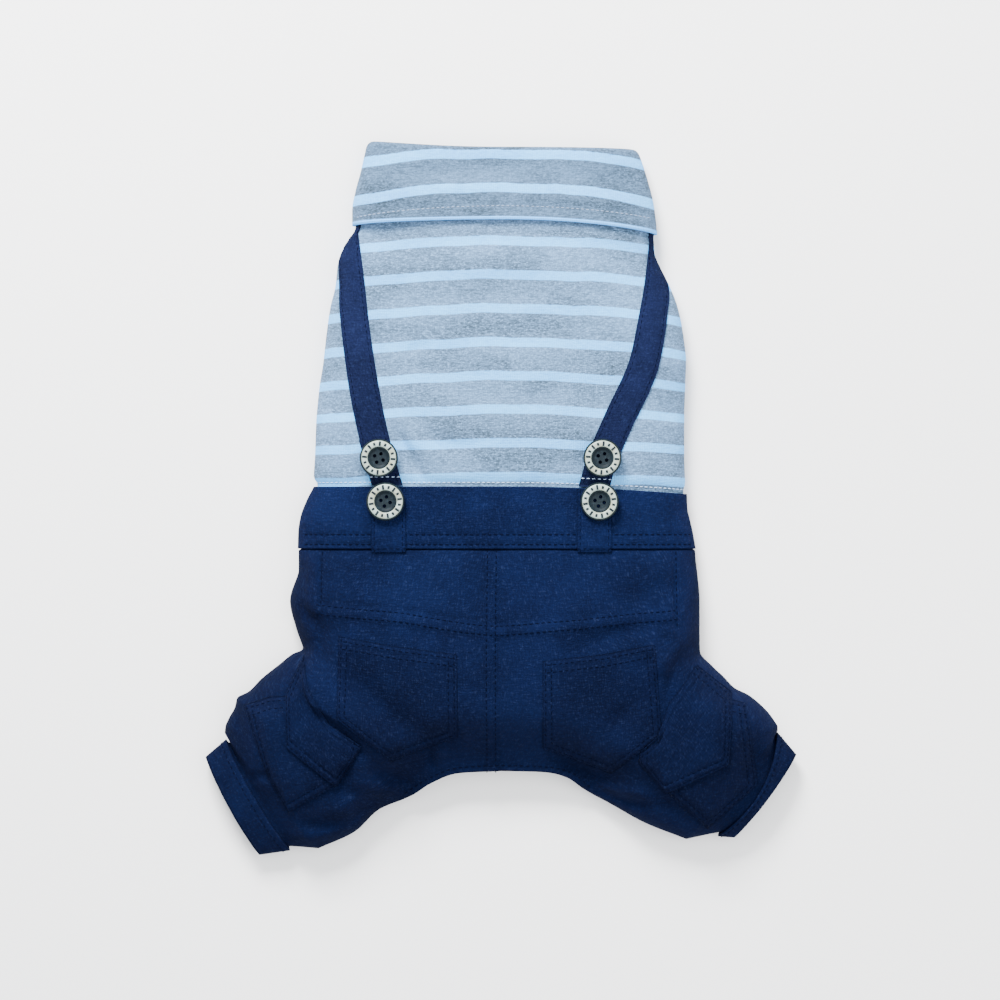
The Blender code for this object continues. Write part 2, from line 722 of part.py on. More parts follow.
def turned(name, profile, finish, suit, collection):
    mesh = bpy.data.meshes.new(name)
    points = [Vector((radius, 0, height)) * MM for radius, height in profile]
    closed = profile[0][0] > 0
    count = len(points)
    edges = [(i, (i + 1) % count) for i in range(count if closed else count - 1)]
    mesh.from_pydata(points, edges, [])
    piece = add_object(name, mesh, finish, suit, collection)
    lathe = piece.modifiers.new("lathe", "SCREW")
    lathe.steps = lathe.render_steps = BUTTON_SIDES
    lathe.use_merge_vertices = True
    lathe.merge_threshold = 0.000001
    lathe.use_smooth_shade = True
    return piece


def hole_cutter(name, suit, cutters):
    """Four round holes through the middle of a button."""
    shape = bmesh.new()
    for quarter in range(4):
        angle = math.radians(45 + 90 * quarter)
        made = bmesh.ops.create_cone(
            shape, cap_ends=True, segments=6, radius1=HOLE_RADIUS * MM, radius2=HOLE_RADIUS * MM,
            depth=3 * BUTTON_THICK * MM,
        )
        place = Vector((math.cos(angle), math.sin(angle), 0)) * HOLE_CIRCLE * MM
        bmesh.ops.translate(shape, vec=place, verts=made["verts"])
    mesh = bpy.data.meshes.new(name)
    shape.to_mesh(mesh)
    shape.free()
    return add_cutter(name, mesh, suit, cutters)


def add_cutter(name, mesh, suit, cutters):
    cutter = bpy.data.objects.new(name, mesh)
    cutters.objects.link(cutter)
    cutter.parent = suit
    cutter.hide_render = True
    cutter.display_type = "WIRE"
    return cutter


def cut(piece, cutter):
    made = piece.modifiers.new("cut", "BOOLEAN")
    made.operation = "DIFFERENCE"
    made.object = cutter
    made.solver = "EXACT"


def make_button(name, x, y, turn, ground, finishes, suit, collection, cutters):
    """A four-hole button with a metal ring set in a groove of its face."""
    spots = [(0.0, 0.0)]
    spots += [(math.cos(a), math.sin(a)) for a in np.linspace(0, 2 * math.pi, 24, endpoint=False)]
    spots += [(0.5 * c, 0.5 * s) for c, s in spots[1::2]]
    middle = Vector((x, y))
    z = LAYER_GAP + max(
        ground.height(x + BUTTON_RADIUS * c, y + BUTTON_RADIUS * s, middle) for c, s in spots
    )
    body_profile = [(r * BUTTON_RADIUS, h * BUTTON_THICK) for r, h in BUTTON_PROFILE]
    low = RING_SEAT * BUTTON_THICK + RING_GAP
    high = RING_TOP * BUTTON_THICK + RING_GAP
    inner = RING_INNER * BUTTON_RADIUS + RING_GAP
    outer = RING_OUTER * BUTTON_RADIUS - RING_GAP
    bevel = (high - low) * 0.4
    ring_profile = [(inner, low), (inner, high - bevel), (inner + bevel, high), (outer - bevel, high)]
    ring_profile += [(outer, high - bevel), (outer, low)]
    body = turned(name, body_profile, finishes[0], suit, collection)
    ring = turned(name + "_ring", ring_profile, finishes[1], suit, collection)
    cutter = hole_cutter(name + "_holes", suit, cutters)
    for piece in (body, ring, cutter):
        piece.location = Vector((x, y, z)) * MM
        piece.rotation_euler.z = turn
    cut(body, cutter)
    return body, ring


def cut_armholes(shirt, suit, cutters):
    """Two plain oval holes for the front legs, in the belly panel only."""
    depth = SHIRT_LOFT / 2
    for side, name in ((-1, "armhole_left"), (1, "armhole_right")):
        shape = bmesh.new()
        bmesh.ops.create_cone(
            shape, cap_ends=True, segments=20, radius1=MM, radius2=MM, depth=depth * MM,
        )
        scale = Vector((ARMHOLE_HALF_WIDTH, ARMHOLE_HALF_LENGTH, 1.0))
        bmesh.ops.scale(shape, vec=scale, verts=shape.verts)
        mesh = bpy.data.meshes.new(name)
        shape.to_mesh(mesh)
        shape.free()
        cutter = add_cutter(name, mesh, suit, cutters)
        cutter.location = Vector((side * ARMHOLE_X, collar_edge_y() - ARMHOLE_DROP, 0)) * MM
        cut(shirt, cutter)


def clear_scene():
    for thing in list(bpy.data.objects):
        bpy.data.objects.remove(thing, do_unlink=True)


def make_collection(name):
    collection = bpy.data.collections.new(name)
    bpy.context.scene.collection.children.link(collection)
    return collection


def suit_middle(pieces):
    """Middle of the suit's own box, in plan."""
    graph = bpy.context.evaluated_depsgraph_get()
    corners = []
    for piece in pieces:
        mesh = piece.evaluated_get(graph).to_mesh()
        corners += [piece.matrix_world @ vertex.co for vertex in mesh.vertices]
    low = np.min(corners, axis=0)
    high = np.max(corners, axis=0)
    return (low + high) / 2


def main():
    clear_scene()
    parts = make_collection("dog_suspender_suit")
    cutters = make_collection("cutters")
    suit = bpy.data.objects.new("suit", None)
    parts.objects.link(suit)

    jersey = material("jersey", HEATHER, 0.95)
    twill = material("twill", NAVY, 0.9)
    trim = material("trim", DARK_NAVY, 0.9)
    shell = material("button", BLACK_GREEN, 0.35)
    metal = material("ring", AGED_SILVER, 0.4, 0.7)

    shirt = make_shirt(jersey, suit, parts)
    collar = make_collar(jersey, suit, parts)
    waistband = make_waistband(twill, suit, parts)
    trousers = make_trousers(twill, suit, parts)
    make_cuff("cuff_left", -1, LEFT_END, twill, suit, parts)
    make_cuff("cuff_right", 1, RIGHT_END, twill, suit, parts)
    bpy.context.view_layer.update()

    on_shirt = Ground([shirt])
    on_seat = Ground([trousers])
    on_waist = Ground([waistband, trousers])
    for side in ("left", "right"):
        strap = make_patch("strap_" + side, strap_plan(side), STRAP_WALL, on_shirt, trim, suit, parts)
        tab = make_patch("tab_" + side, tab_plan(side), PATCH_WALL, on_waist, trim, suit, parts)
        pockets = []
        for place in ("back_pocket_", "cargo_pocket_"):
            plan = patch_plan(PATCHES[place + side])
            pockets.append(make_patch(place + side, plan, PATCH_WALL, on_seat, twill, suit, parts))
        bpy.context.view_layer.update()
        on_pocket = Ground([trousers, *pockets])
        plan = patch_plan(PATCHES["cargo_flap_" + side])
        make_patch("cargo_flap_" + side, plan, PATCH_WALL, on_pocket, twill, suit, parts)

        beneath = Ground([shirt, strap, tab, waistband, collar])
        y_strap = WAISTBAND_DEPTH + BUTTON_RISE
        x_strap = strap_middle(side, BUTTON_RISE / SHIRT_LENGTH)
        x_tab = TAB_X[side] * WAIST_HALF + TAB_BUTTON_SHIFT[side]
        places = {
            "button_strap_": (x_strap, y_strap, STRAP_BUTTON_TURN),
            "button_waist_": (x_tab, y_strap - BUTTON_SPACING, WAIST_BUTTON_TURN),
        }
        for name, (x, y, turn) in places.items():
            make_button(name + side, x, y, turn, beneath, (shell, metal), suit, parts, cutters)

    cut_armholes(shirt, suit, cutters)
    bpy.context.view_layer.update()
    pieces = [thing for thing in parts.objects if thing.type == "MESH"]
    middle = suit_middle(pieces)
    suit.location = (-middle[0], -middle[1], 0)


if __name__ == "__main__":
    main()
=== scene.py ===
"""Dog suspender suit: the look of every piece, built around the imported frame."""

import math
from collections import namedtuple

import bmesh
import bpy
import numpy as np
from mathutils import Matrix, Vector, noise
from mathutils.bvhtree import BVHTree


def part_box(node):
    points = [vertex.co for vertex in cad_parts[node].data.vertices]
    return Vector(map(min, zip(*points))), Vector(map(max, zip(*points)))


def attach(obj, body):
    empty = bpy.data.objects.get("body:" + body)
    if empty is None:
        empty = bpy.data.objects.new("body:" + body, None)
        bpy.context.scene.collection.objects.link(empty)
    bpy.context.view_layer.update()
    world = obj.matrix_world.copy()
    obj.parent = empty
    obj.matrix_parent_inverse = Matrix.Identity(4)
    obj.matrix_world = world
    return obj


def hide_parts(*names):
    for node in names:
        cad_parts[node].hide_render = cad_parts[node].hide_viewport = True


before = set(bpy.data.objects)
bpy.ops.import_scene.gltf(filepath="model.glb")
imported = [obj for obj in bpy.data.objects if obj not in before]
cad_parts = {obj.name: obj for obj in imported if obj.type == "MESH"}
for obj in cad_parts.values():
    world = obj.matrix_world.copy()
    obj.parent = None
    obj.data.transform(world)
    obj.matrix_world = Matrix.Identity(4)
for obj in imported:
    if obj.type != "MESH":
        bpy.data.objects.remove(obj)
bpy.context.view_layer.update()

MM = 0.001
BODY = "root"

bl_info = {
    "name": "Dog suspender suit",
    "version": (1, 0, 0),
    "blender": (4, 5, 0),
    "location": "3D View > Sidebar > Suit",
    "description": "Dresses the packed frame of a dog suspender suit in cloth, stitches and buttons",
    "category": "Object",
}

# Sizes of the pieces, as the frame has them. y is measured from the seam between
# waistband and trousers, which is the waistband's lowest edge in plan.
SEAM_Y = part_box("waistband")[0][1]
COLLAR_DEPTH = 34.5 * MM
COLLAR_INSIDE = 24.0 * MM
NECK_SEAM_DROP = 9.0 * MM
SHIRT_LENGTH = 124.5 * MM
WAISTBAND_DEPTH = 29.0 * MM
RISE = 104.0 * MM
CUFF_DEPTH = 13.0 * MM
CUFF_END_BOW = 1.3 * MM
COLLAR_HALF = 72.0 * MM
SHIRT_HALF = 87.0 * MM
WAIST_HALF = 93.0 * MM
LEG_REACH = 129.7 * MM
COLLAR_LOFT = 20.0 * MM
SHIRT_LOFT = 21.0 * MM
WAIST_LOFT = 20.0 * MM
SEAT_LOFT = 28.0 * MM
LEG_END_LOFT = 16.0 * MM
CUFF_END_LOFT = 13.5 * MM
SIDE_RIM = 7.0 * MM
SHOULDER = 30.0 * MM
LEG_SHOULDER = 24.0 * MM
UNDER_TURN = 7.0 * MM
HEM_FADE = 30.0 * MM
HEM_OPEN = 0.5
SEAM_LAP = 3.5 * MM
LAYER_GAP = 0.3 * MM
END_GAP = 0.6 * MM
STRAP_WIDTH = 14.0 * MM
TAB_WIDTH = 16.0 * MM
TAB_TAIL = 1.6 * MM
TAB_WALL = 1.6 * MM
BUTTON_RADIUS = 8.9 * MM
BUTTON_THICK = 3.4 * MM
ARMHOLE_HALF_WIDTH = 18.0 * MM
ARMHOLE_HALF_LENGTH = 24.0 * MM
ARMHOLE_X = 36.0 * MM
ARMHOLE_DROP = 44.0 * MM
BAND_TUCK = 1.75 * MM
NECK_TUCK = 1.65 * MM
STEP_OUT = 1.4 * MM
LEG_CLEARANCE = 0.35 * MM
WAIST_STEP = 0.9 * MM
WAIST_INSET = 0.4 * MM
COLLAR_STACK = 5.05 * MM
STRAP_LAP = 1.5 * MM

# Steps of the fine meshes
ACROSS = 176
LEG_ACROSS = ACROSS // 2
TRUNK_STEP = 1.7 * MM

# Outlines of the trunk's sections. along: share of the piece's length; reaches: shares
# of its half width; dips: shares of its length; top: share of its loft
Outline = namedtuple("Outline", "along left right dip_left dip_right top")
COLLAR = [
    Outline(0.00, 0.87, 0.89, -0.09, 0.02, 0.82),
    Outline(0.16, 0.89, 0.92, -0.06, 0.03, 0.87),
    Outline(0.36, 0.915, 0.955, -0.03, 0.06, 0.92),
    Outline(0.60, 0.95, 0.99, 0.00, 0.10, 0.97),
    Outline(0.82, 0.97, 1.01, 0.03, 0.14, 1.00),
    Outline(1.00, 0.97, 1.02, 0.06, 0.18, 1.01),
]
SHIRT = [
    Outline(0.05, 1.010, 0.995, 0.01, 0.03, 0.97),
    Outline(0.14, 1.003, 0.990, 0.02, 0.03, 1.00),
    Outline(0.27, 0.997, 0.990, 0.03, 0.03, 1.01),
    Outline(0.40, 0.980, 0.995, 0.03, 0.03, 1.00),
    Outline(0.50, 0.958, 1.000, 0.03, 0.03, 1.00),
    Outline(0.60, 0.942, 0.985, 0.03, 0.03, 0.99),
    Outline(0.70, 0.922, 0.957, 0.03, 0.03, 0.97),
    Outline(0.79, 0.892, 0.915, 0.03, 0.04, 0.94),
    Outline(0.87, 0.880, 0.865, 0.03, 0.05, 0.90),
    Outline(0.93, 0.850, 0.830, 0.03, 0.05, 0.86),
]
WAISTBAND = [
    Outline(0.00, 0.945, 0.940, 0.00, 0.12, 1.00),
    Outline(0.25, 0.985, 0.942, 0.00, 0.09, 1.01),
    Outline(0.50, 1.013, 0.957, 0.00, 0.06, 1.01),
    Outline(0.75, 1.024, 0.972, 0.00, 0.03, 1.01),
    Outline(1.00, 1.026, 0.984, 0.00, 0.00, 1.00),
]

# Sections of a trouser half, from the outseam to the centre line, hem or inseam.
# out: share of the way from WAIST_HALF to LEG_REACH; inner: share of LEG_REACH;
# drops: shares of RISE; top: share of SEAT_LOFT
Fan = namedtuple("Fan", "out out_drop inner inner_drop top")
LEFT_FAN = [
    Fan(0.055, 0.05, 0.0, 0.05, 0.76),
    Fan(0.055, 0.10, 0.0, 0.12, 0.82),
    Fan(0.165, 0.235, 0.0, 0.25, 0.90),
    Fan(0.085, 0.36, 0.0, 0.39, 0.96),
    Fan(0.0, 0.45, 0.0, 0.56, 1.00),
    Fan(0.14, 0.478, 0.0, 0.71, 1.00),
    Fan(0.31, 0.526, 0.0, 0.86, 1.00),
    Fan(0.53, 0.588, 0.0, 1.00, 1.00),
    Fan(0.69, 0.645, 0.15, 1.010, 1.00),
    Fan(0.84, 0.675, 0.25, 1.055, 1.00),
    Fan(0.87, 0.717, 0.33, 1.12, 0.98),
    Fan(0.94, 0.762, 0.44, 1.178, 0.93),
    Fan(0.99, 0.802, 0.53, 1.28, 0.85),
    Fan(1.0, 0.83, 0.66, 1.354, 0.72),
]
RIGHT_FAN = [
    Fan(-0.04, 0.05, 0.0, 0.05, 0.76),
    Fan(-0.02, 0.11, 0.0, 0.12, 0.82),
    Fan(0.01, 0.24, 0.0, 0.25, 0.90),
    Fan(0.01, 0.39, 0.0, 0.39, 0.96),
    Fan(0.015, 0.465, 0.0, 0.56, 1.00),
    Fan(0.17, 0.53, 0.0, 0.71, 1.00),
    Fan(0.32, 0.58, 0.0, 0.86, 1.00),
    Fan(0.46, 0.63, 0.0, 1.00, 1.00),
    Fan(0.63, 0.66, 0.15, 1.005, 1.00),
    Fan(0.775, 0.70, 0.24, 1.03, 1.00),
    Fan(0.90, 0.745, 0.305, 1.09, 0.98),
    Fan(0.97, 0.78, 0.40, 1.155, 0.93),
    Fan(1.01, 0.805, 0.52, 1.238, 0.85),
    Fan(1.01, 0.82, 0.67, 1.312, 0.72),
]
FORK_ROW = 7
INSEAM_ROW = 10
# Fine rows between two of the trousers' sections: waist laps, then the fan, then the legs
WAIST_STEPS = [2, 2, 4]
FAN_STEPS = [5, 8, 8, 9, 8, 8, 8, 8, 7, 6, 5, 6, 6]
END_STEPS = [7, 2, 3]

# Ends of the legs and the runs of their bands: shares of LEG_REACH, RISE, CUFF_DEPTH
LegEnd = namedtuple("LegEnd", "side out out_drop inner inner_drop out_run inner_run bow")
LEG_ENDS = {
    "left": LegEnd(-1, -0.996, 0.862, -0.764, 1.364, (-0.73, -0.63), (-1.10, -0.16), 0.10),
    "right": LegEnd(1, 1.002, 0.830, 0.786, 1.300, (0.68, -0.80), (0.58, -0.05), 0.50),
}

# Folds and steps in the cloth. path: points as (x share, y share); width and height in
# millimetres. A ridge is a rounded rise or, with a negative height, a valley; a step
# leaves what lies to the left of its path higher. The seat's shares are of LEG_REACH and
# RISE.
Fold = namedtuple("Fold", "path width height kind", defaults=["ridge"])
SEAT_FOLDS = [
    Fold([(-0.715, -0.409), (-0.708, -0.580), (-0.683, -0.692), (-0.636, -0.737),
          (-0.578, -0.790), (-0.514, -0.862), (-0.463, -0.921)], 1.5, 4.6, "step"),
    Fold([(-0.647, -0.355), (-0.643, -0.432), (-0.629, -0.535)], 3.2, -1.8),
    Fold([(-0.643, -0.535), (-0.586, -0.656), (-0.506, -0.777), (-0.363, -0.912)], 6.0, 2.6),
    Fold([(-0.542, -0.535), (-0.449, -0.678), (-0.334, -0.804), (-0.219, -0.849)], 6.5, -3.4),
    Fold([(-0.729, -0.230), (-0.679, -0.319), (-0.614, -0.373)], 3.5, -2.2),
    Fold([(-0.258, -0.867), (-0.255, -0.930), (-0.237, -0.992)], 2.2, -2.0),
    Fold([(-0.219, -0.858), (-0.212, -0.948)], 3.5, 1.2),
    Fold([(-0.553, -0.956), (-0.571, -1.046), (-0.535, -1.127)], 5.0, -4.2),
    Fold([(-0.478, -0.992), (-0.391, -1.019), (-0.319, -1.064)], 3.2, -2.6),
    Fold([(-0.499, -1.055), (-0.435, -1.082), (-0.370, -1.091)], 3.5, 1.8),
    Fold([(-0.751, -1.208), (-0.658, -1.244), (-0.557, -1.226), (-0.471, -1.154)], 4.0, -2.6),
    Fold([(-0.722, -1.297), (-0.614, -1.279), (-0.535, -1.208)], 3.5, 1.6),
    Fold([(-0.881, -1.073), (-0.830, -1.127), (-0.780, -1.208), (-0.751, -1.297)], 2.6, -2.4),
    Fold([(-0.917, -1.015), (-0.866, -1.019), (-0.816, -1.019)], 2.2, -1.6),
    Fold([(-0.981, -0.732), (-0.945, -0.777), (-0.924, -0.849)], 2.6, -1.6),
    Fold([(0.195, -0.490), (0.321, -0.436), (0.422, -0.382), (0.544, -0.328)], 5.0, -2.4),
    Fold([(0.357, -0.257), (0.501, -0.221), (0.673, -0.144)], 6.0, -1.8),
    Fold([(0.213, -0.104), (0.357, -0.140), (0.501, -0.113)], 8.0, -1.0),
    Fold([(0.562, -0.786), (0.583, -0.633), (0.637, -0.463), (0.709, -0.391)], 1.4, 2.2, "step"),
    Fold([(0.529, -0.409), (0.544, -0.517), (0.501, -0.633)], 3.6, 2.0),
    Fold([(0.501, -0.454), (0.515, -0.571), (0.465, -0.705), (0.378, -0.813)], 4.5, -2.4),
    Fold([(0.587, -0.463), (0.573, -0.571)], 3.4, 1.8),
    Fold([(0.184, -0.930), (0.285, -1.001), (0.400, -1.037)], 3.6, -3.0),
    Fold([(0.299, -1.028), (0.357, -1.100), (0.458, -1.140), (0.573, -1.154)], 2.6, -2.4),
    Fold([(0.357, -1.064), (0.450, -1.091), (0.529, -1.091)], 2.8, 1.8),
    Fold([(0.458, -0.948), (0.501, -1.028), (0.580, -1.127), (0.659, -1.208)], 3.2, -2.2),
    Fold([(0.400, -1.163), (0.529, -1.226), (0.659, -1.279)], 2.6, 1.2),
    Fold([(0.976, -0.835), (0.961, -0.939), (0.904, -1.082), (0.817, -1.208),
          (0.760, -1.271)], 2.8, 2.4),
    Fold([(0.922, -0.835), (0.911, -0.948), (0.853, -1.082), (0.774, -1.190)], 2.6, -2.0),
    Fold([(-0.111, -0.275), (-0.129, -0.589), (-0.104, -0.948)], 12.0, 1.0),
    Fold([(0.299, -0.059), (0.105, -0.185), (-0.140, -0.221)], 9.0, -0.9),
    Fold([(-0.614, -0.050), (-0.435, -0.118), (-0.219, -0.086)], 8.0, -1.0),
    Fold([(-0.003, -0.409), (0.019, -0.678), (-0.003, -0.948)], 9.0, -0.9),
]
# Shares of SHIRT_HALF and SHIRT_LENGTH from the waistband
SHIRT_FOLDS = [
    Fold([(-0.80, 0.97), (-0.68, 0.93), (-0.55, 0.96)], 3.5, -1.5),
    Fold([(-0.56, 0.22), (-0.50, 0.13), (-0.42, 0.03)], 2.4, -2.2),
    Fold([(-0.50, 0.24), (-0.42, 0.14), (-0.33, 0.06)], 3.5, 1.3),
    Fold([(-0.38, 0.19), (-0.22, 0.15), (-0.10, 0.17)], 3.5, -1.4),
    Fold([(-0.52, 0.50), (-0.44, 0.515), (-0.35, 0.53)], 2.6, -1.1),
    Fold([(-0.95, 0.30), (-0.82, 0.36)], 4.0, -0.9),
    Fold([(0.84, 0.62), (0.96, 0.70)], 4.0, -1.0),
    Fold([(0.84, 0.30), (0.97, 0.26)], 4.0, -1.0),
    Fold([(-0.35, 0.62), (0.05, 0.58), (0.40, 0.64)], 9.0, -0.7),
    Fold([(-0.30, 0.38), (0.10, 0.42), (0.45, 0.36)], 10.0, 0.7),
    Fold([(-0.50, 0.82), (0.0, 0.86), (0.50, 0.80)], 10.0, 0.6),
]
# Shares of COLLAR_HALF and COLLAR_DEPTH from the upper fold
COLLAR_FOLDS = [
    Fold([(-0.76, -0.38), (-0.30, -0.34), (0.15, -0.28)], 4.5, -1.0),
    Fold([(-0.42, -0.72), (-0.15, -0.68), (0.05, -0.70)], 3.0, -0.7),
    Fold([(0.30, -0.40), (0.62, -0.48), (0.85, -0.40)], 5.0, -0.7),
]

# A strap's middle line: (share of SHIRT_LENGTH from the waistband, share of SHIRT_HALF)
STRAP_LINE = {
    "left": [(0.0, -0.61), (0.18, -0.68), (0.37, -0.735), (0.60, -0.785), (0.80, -0.818), (1.0, -0.858)],
    "right": [
        (0.0, 0.50), (0.10, 0.54), (0.26, 0.635), (0.48, 0.768), (0.62, 0.81), (0.78, 0.85), (1.0, 0.888)],
}
TAB_X = {"left": -0.563, "right": 0.468}

# Patches on the trousers: upper and lower edge, shares of LEG_REACH and of RISE
Patch = namedtuple("Patch", "upper lower")
PATCHES = {
    "back_pocket_left": Patch(
        [(-0.580, -0.39), (-0.370, -0.435), (-0.158, -0.47)],
        [(-0.585, -0.755), (-0.390, -0.95), (-0.155, -0.84)],
    ),
    "back_pocket_right": Patch(
        [(0.150, -0.50), (0.364, -0.47), (0.549, -0.425)],
        [(0.150, -0.895), (0.393, -1.01), (0.574, -0.83)],
    ),
    "cargo_pocket_left": Patch(
        [(-0.925, -0.70), (-0.830, -0.66), (-0.725, -0.65)],
        [(-0.835, -1.02), (-0.762, -1.18), (-0.575, -1.045)],
    ),
    "cargo_pocket_right": Patch(
        [(0.700, -0.68), (0.790, -0.66), (0.880, -0.69)],
        [(0.595, -1.09), (0.745, -1.26), (0.925, -1.06)],
    ),
    "cargo_flap_left": Patch(
        [(-0.710, -0.48), (-0.690, -0.62), (-0.615, -0.78), (-0.495, -0.88)],
        [(-0.770, -0.64), (-0.765, -0.885), (-0.590, -1.065), (-0.515, -0.92)],
    ),
    "cargo_flap_right": Patch(
        [(0.705, -0.52), (0.600, -0.69), (0.560, -0.83), (0.500, -0.90)],
        [(0.830, -0.64), (0.815, -0.965), (0.588, -1.095), (0.490, -0.95)],
    ),
}

# Soft waves in the cloth: height and size in millimetres, and a seed
SHIRT_WAVES = ((0.55, 26, 1), (0.25, 9, 2))
COLLAR_WAVES = ((0.5, 30, 5), (0.2, 8, 6))
BAND_WAVES = ((0.5, 22, 8), (0.15, 6, 9))
SEAT_WAVES = ((0.7, 30, 11), (0.30, 11, 12))

# The patches of a side from the lowest up, and how far each bulges
PATCH_KINDS = (("back_pocket_", 0.5 * MM), ("cargo_pocket_", 1.2 * MM), ("cargo_flap_", 0.6 * MM))

# Rows of stitches: distances inside the edges of the patches, over the waistband's lower
# edge, and beside the double and the single seams
BORDER_ROWS = (1.3 * MM, 3.9 * MM)
TOP_ROWS = (2.0 * MM, 5.4 * MM)
BAND_ROWS = (2.0 * MM, 6.6 * MM)
DOUBLE_SEAMS = ("centre", "yoke_left", "yoke_right")
DOUBLE_SEAM_ROWS = (1.1 * MM, 5.2 * MM)
SINGLE_SEAM_ROWS = (1.0 * MM,)
HEM_ROW = 2.6 * MM
FINE_STITCH = {"pitch": 2.3 * MM, "length": 1.6 * MM, "width": 0.42 * MM}
TRIM_THREAD = 0.34 * MM
THREAD_LIFT = (0, 0, 0.08 * MM)

# Where the stripes start: above the hem, and below the collar's upper fold
HEM_STRIPE = 4.2 * MM
COLLAR_STRIPE = 3.6 * MM
# How far the shirt's knitted rows droop at a distance from the centre line, and how far
# up the hem holds them
ROW_DROOP = 3.6 * MM
DROOP_HALF = 65 * MM
HEM_HOLD = 66 * MM

# The buttons: radius and spread of the four holes, the ring's share of the button's
# radius and thickness, and the 16 ticks, long and short by turns
HOLE_RADIUS = 0.85 * MM
HOLE_SPREAD_MM = 2.2
RING_INNER, RING_OUTER = 0.585, 0.912
RING_BASE, RING_RISE = 0.73, 0.26
TICKS = 16
TICK_LENGTHS = (1.4 * MM, 2.2 * MM)
TICK_WIDTH = 1.0 * MM
TICK_RISE = 0.16 * MM
STRAP_BUTTON_TURN, WAIST_BUTTON_TURN = 18, 32
SHARP = math.radians(35)

# Lights: name, place, size and power
LAMPS = (
    ("key", (-0.32, 1.00, 0.80), 0.5, 74.0),
    ("fill", (0.75, -0.3, 1.1), 1.2, 16.0),
    ("top", (0.0, 0.1, 1.7), 1.6, 18.0),
)

# The camera above the suit: its place, the height it is framed on, and the width seen
CAMERA_HEIGHT = 1.6
CAMERA_PLACE = (-0.0004, -0.0011, CAMERA_HEIGHT)
FRAMED_HEIGHT = 0.018
VIEW_WIDTH = 0.4665
SENSOR = 36.0

# Seams on the seat, as shares of LEG_REACH and RISE
SEAMS = {
    "centre": [(-0.008, -0.01), (-0.012, -0.5), (-0.010, -1.0)],
    "yoke_left": [
        (-0.655, -0.24), (-0.50, -0.26), (-0.36, -0.275), (-0.215, -0.305), (-0.07, -0.33),
        (-0.012, -0.335)],
    "yoke_right": [(0.0, -0.335), (0.145, -0.32), (0.29, -0.305), (0.435, -0.285), (0.62, -0.265)],
    "side_left": [(-0.650, -0.02), (-0.652, -0.24)],
    "side_right": [(0.622, -0.02), (0.624, -0.34)],
}


def length_property(name, description, default):
    return bpy.props.FloatProperty(name=name, description=description, default=default, unit="LENGTH")


def colour_property(name, description, *default):
    return bpy.props.FloatVectorProperty(
        name=name, description=description, default=default, subtype="COLOR")


class SuitSizes(bpy.types.PropertyGroup):
    """Sizes that change the look and not the suit's outline."""

    jersey_wall: length_property("Jersey thickness", "Wall of the striped jersey", 1.1 * MM)
    twill_wall: length_property("Twill thickness", "Wall of the trousers and waistband", 1.2 * MM)
    patch_wall: length_property("Patch thickness", "Thickness of pockets, flaps and tabs", 1.5 * MM)
    strap_wall: length_property("Strap thickness", "Thickness of the suspenders", 1.3 * MM)
    stripe_pitch: length_property("Stripe pitch", "From one pale stripe to the next", 15.82 * MM)
    stripe_width: length_property("Stripe width", "Width of a pale stripe", 4.3 * MM)
    stitch_pitch: length_property("Stitch pitch", "From one stitch to the next", 2.8 * MM)
    stitch_length: length_property("Stitch length", "Length of thread that shows", 1.8 * MM)
    stitch_width: length_property("Stitch width", "Width of the thread", 0.52 * MM)


class SuitColours(bpy.types.PropertyGroup):
    """Colours of the cloth, thread and buttons, as linear values."""

    navy: colour_property("Navy", "Twill of the trousers", 0.0028, 0.0056, 0.0250)
    strap_navy: colour_property("Strap navy", "Twill tape of straps and tabs", 0.0064, 0.0100, 0.0360)
    marl: colour_property("Marl", "Heather grey of the jersey", 0.060, 0.114, 0.196)
    stripe: colour_property("Stripe", "Pale stripes of the jersey", 0.120, 0.450, 1.000)
    thread: colour_property("Navy thread", "Stitches on the twill", 0.0011, 0.0020, 0.0090)
    pale_thread: colour_property("Pale thread", "Stitches on the jersey", 0.42, 0.56, 0.82)
    shell: colour_property("Button shell", "Dark moulded button", 0.006, 0.011, 0.015)
    ring: colour_property("Button ring", "Pale ring in the button's face", 0.24, 0.32, 0.30)
    tick: colour_property("Ring ticks", "Dark ticks on the ring", 0.012, 0.016, 0.020)


# Lofts


def monotone_slopes(rows, stations):
    """Slopes through rows of values that never overshoot them."""
    steps = np.diff(stations).reshape(-1, *[1] * (rows.ndim - 1))
    rise = np.diff(rows, axis=0) / steps
    slopes = np.zeros_like(rows)
    before, after = rise[:-1], rise[1:]
    same = before * after > 0
    total = np.where(same, before + after, 1.0)
    slopes[1:-1] = np.where(same, 2 * before * after / total, 0.0)
    slopes[0], slopes[-1] = rise[0], rise[-1]
    return slopes


def smooth_rows(rows, stations, at):
    """Rows of values read from a smooth curve through them."""
    rows, stations, at = np.asarray(rows, float), np.asarray(stations, float), np.asarray(at, float)
    slopes = monotone_slopes(rows, stations)
    index = np.clip(np.searchsorted(stations, at, side="right") - 1, 0, len(stations) - 2)
    width = stations[index + 1] - stations[index]
    shape = (-1, *[1] * (rows.ndim - 1))
    t = ((at - stations[index]) / width).reshape(shape)
    width = width.reshape(shape)
    a, b = rows[index], rows[index + 1]
    ma, mb = slopes[index] * width, slopes[index + 1] * width
    return (
        a * (1 + 2 * t) * (1 - t) ** 2 + ma * t * (1 - t) ** 2 + b * t**2 * (3 - 2 * t) + mb * t**2 * (t - 1)
    )


def smooth_step(t):
    t = np.clip(t, 0, 1)
    return t * t * (3 - 2 * t)


def round_turn(t):
    return np.sqrt(1 - (1 - np.clip(t, 0, 1)) ** 2)


def bell(offset, width):
    """1 where the offset is nothing, falling away over the width."""
    return np.exp(-((offset / width) ** 2))


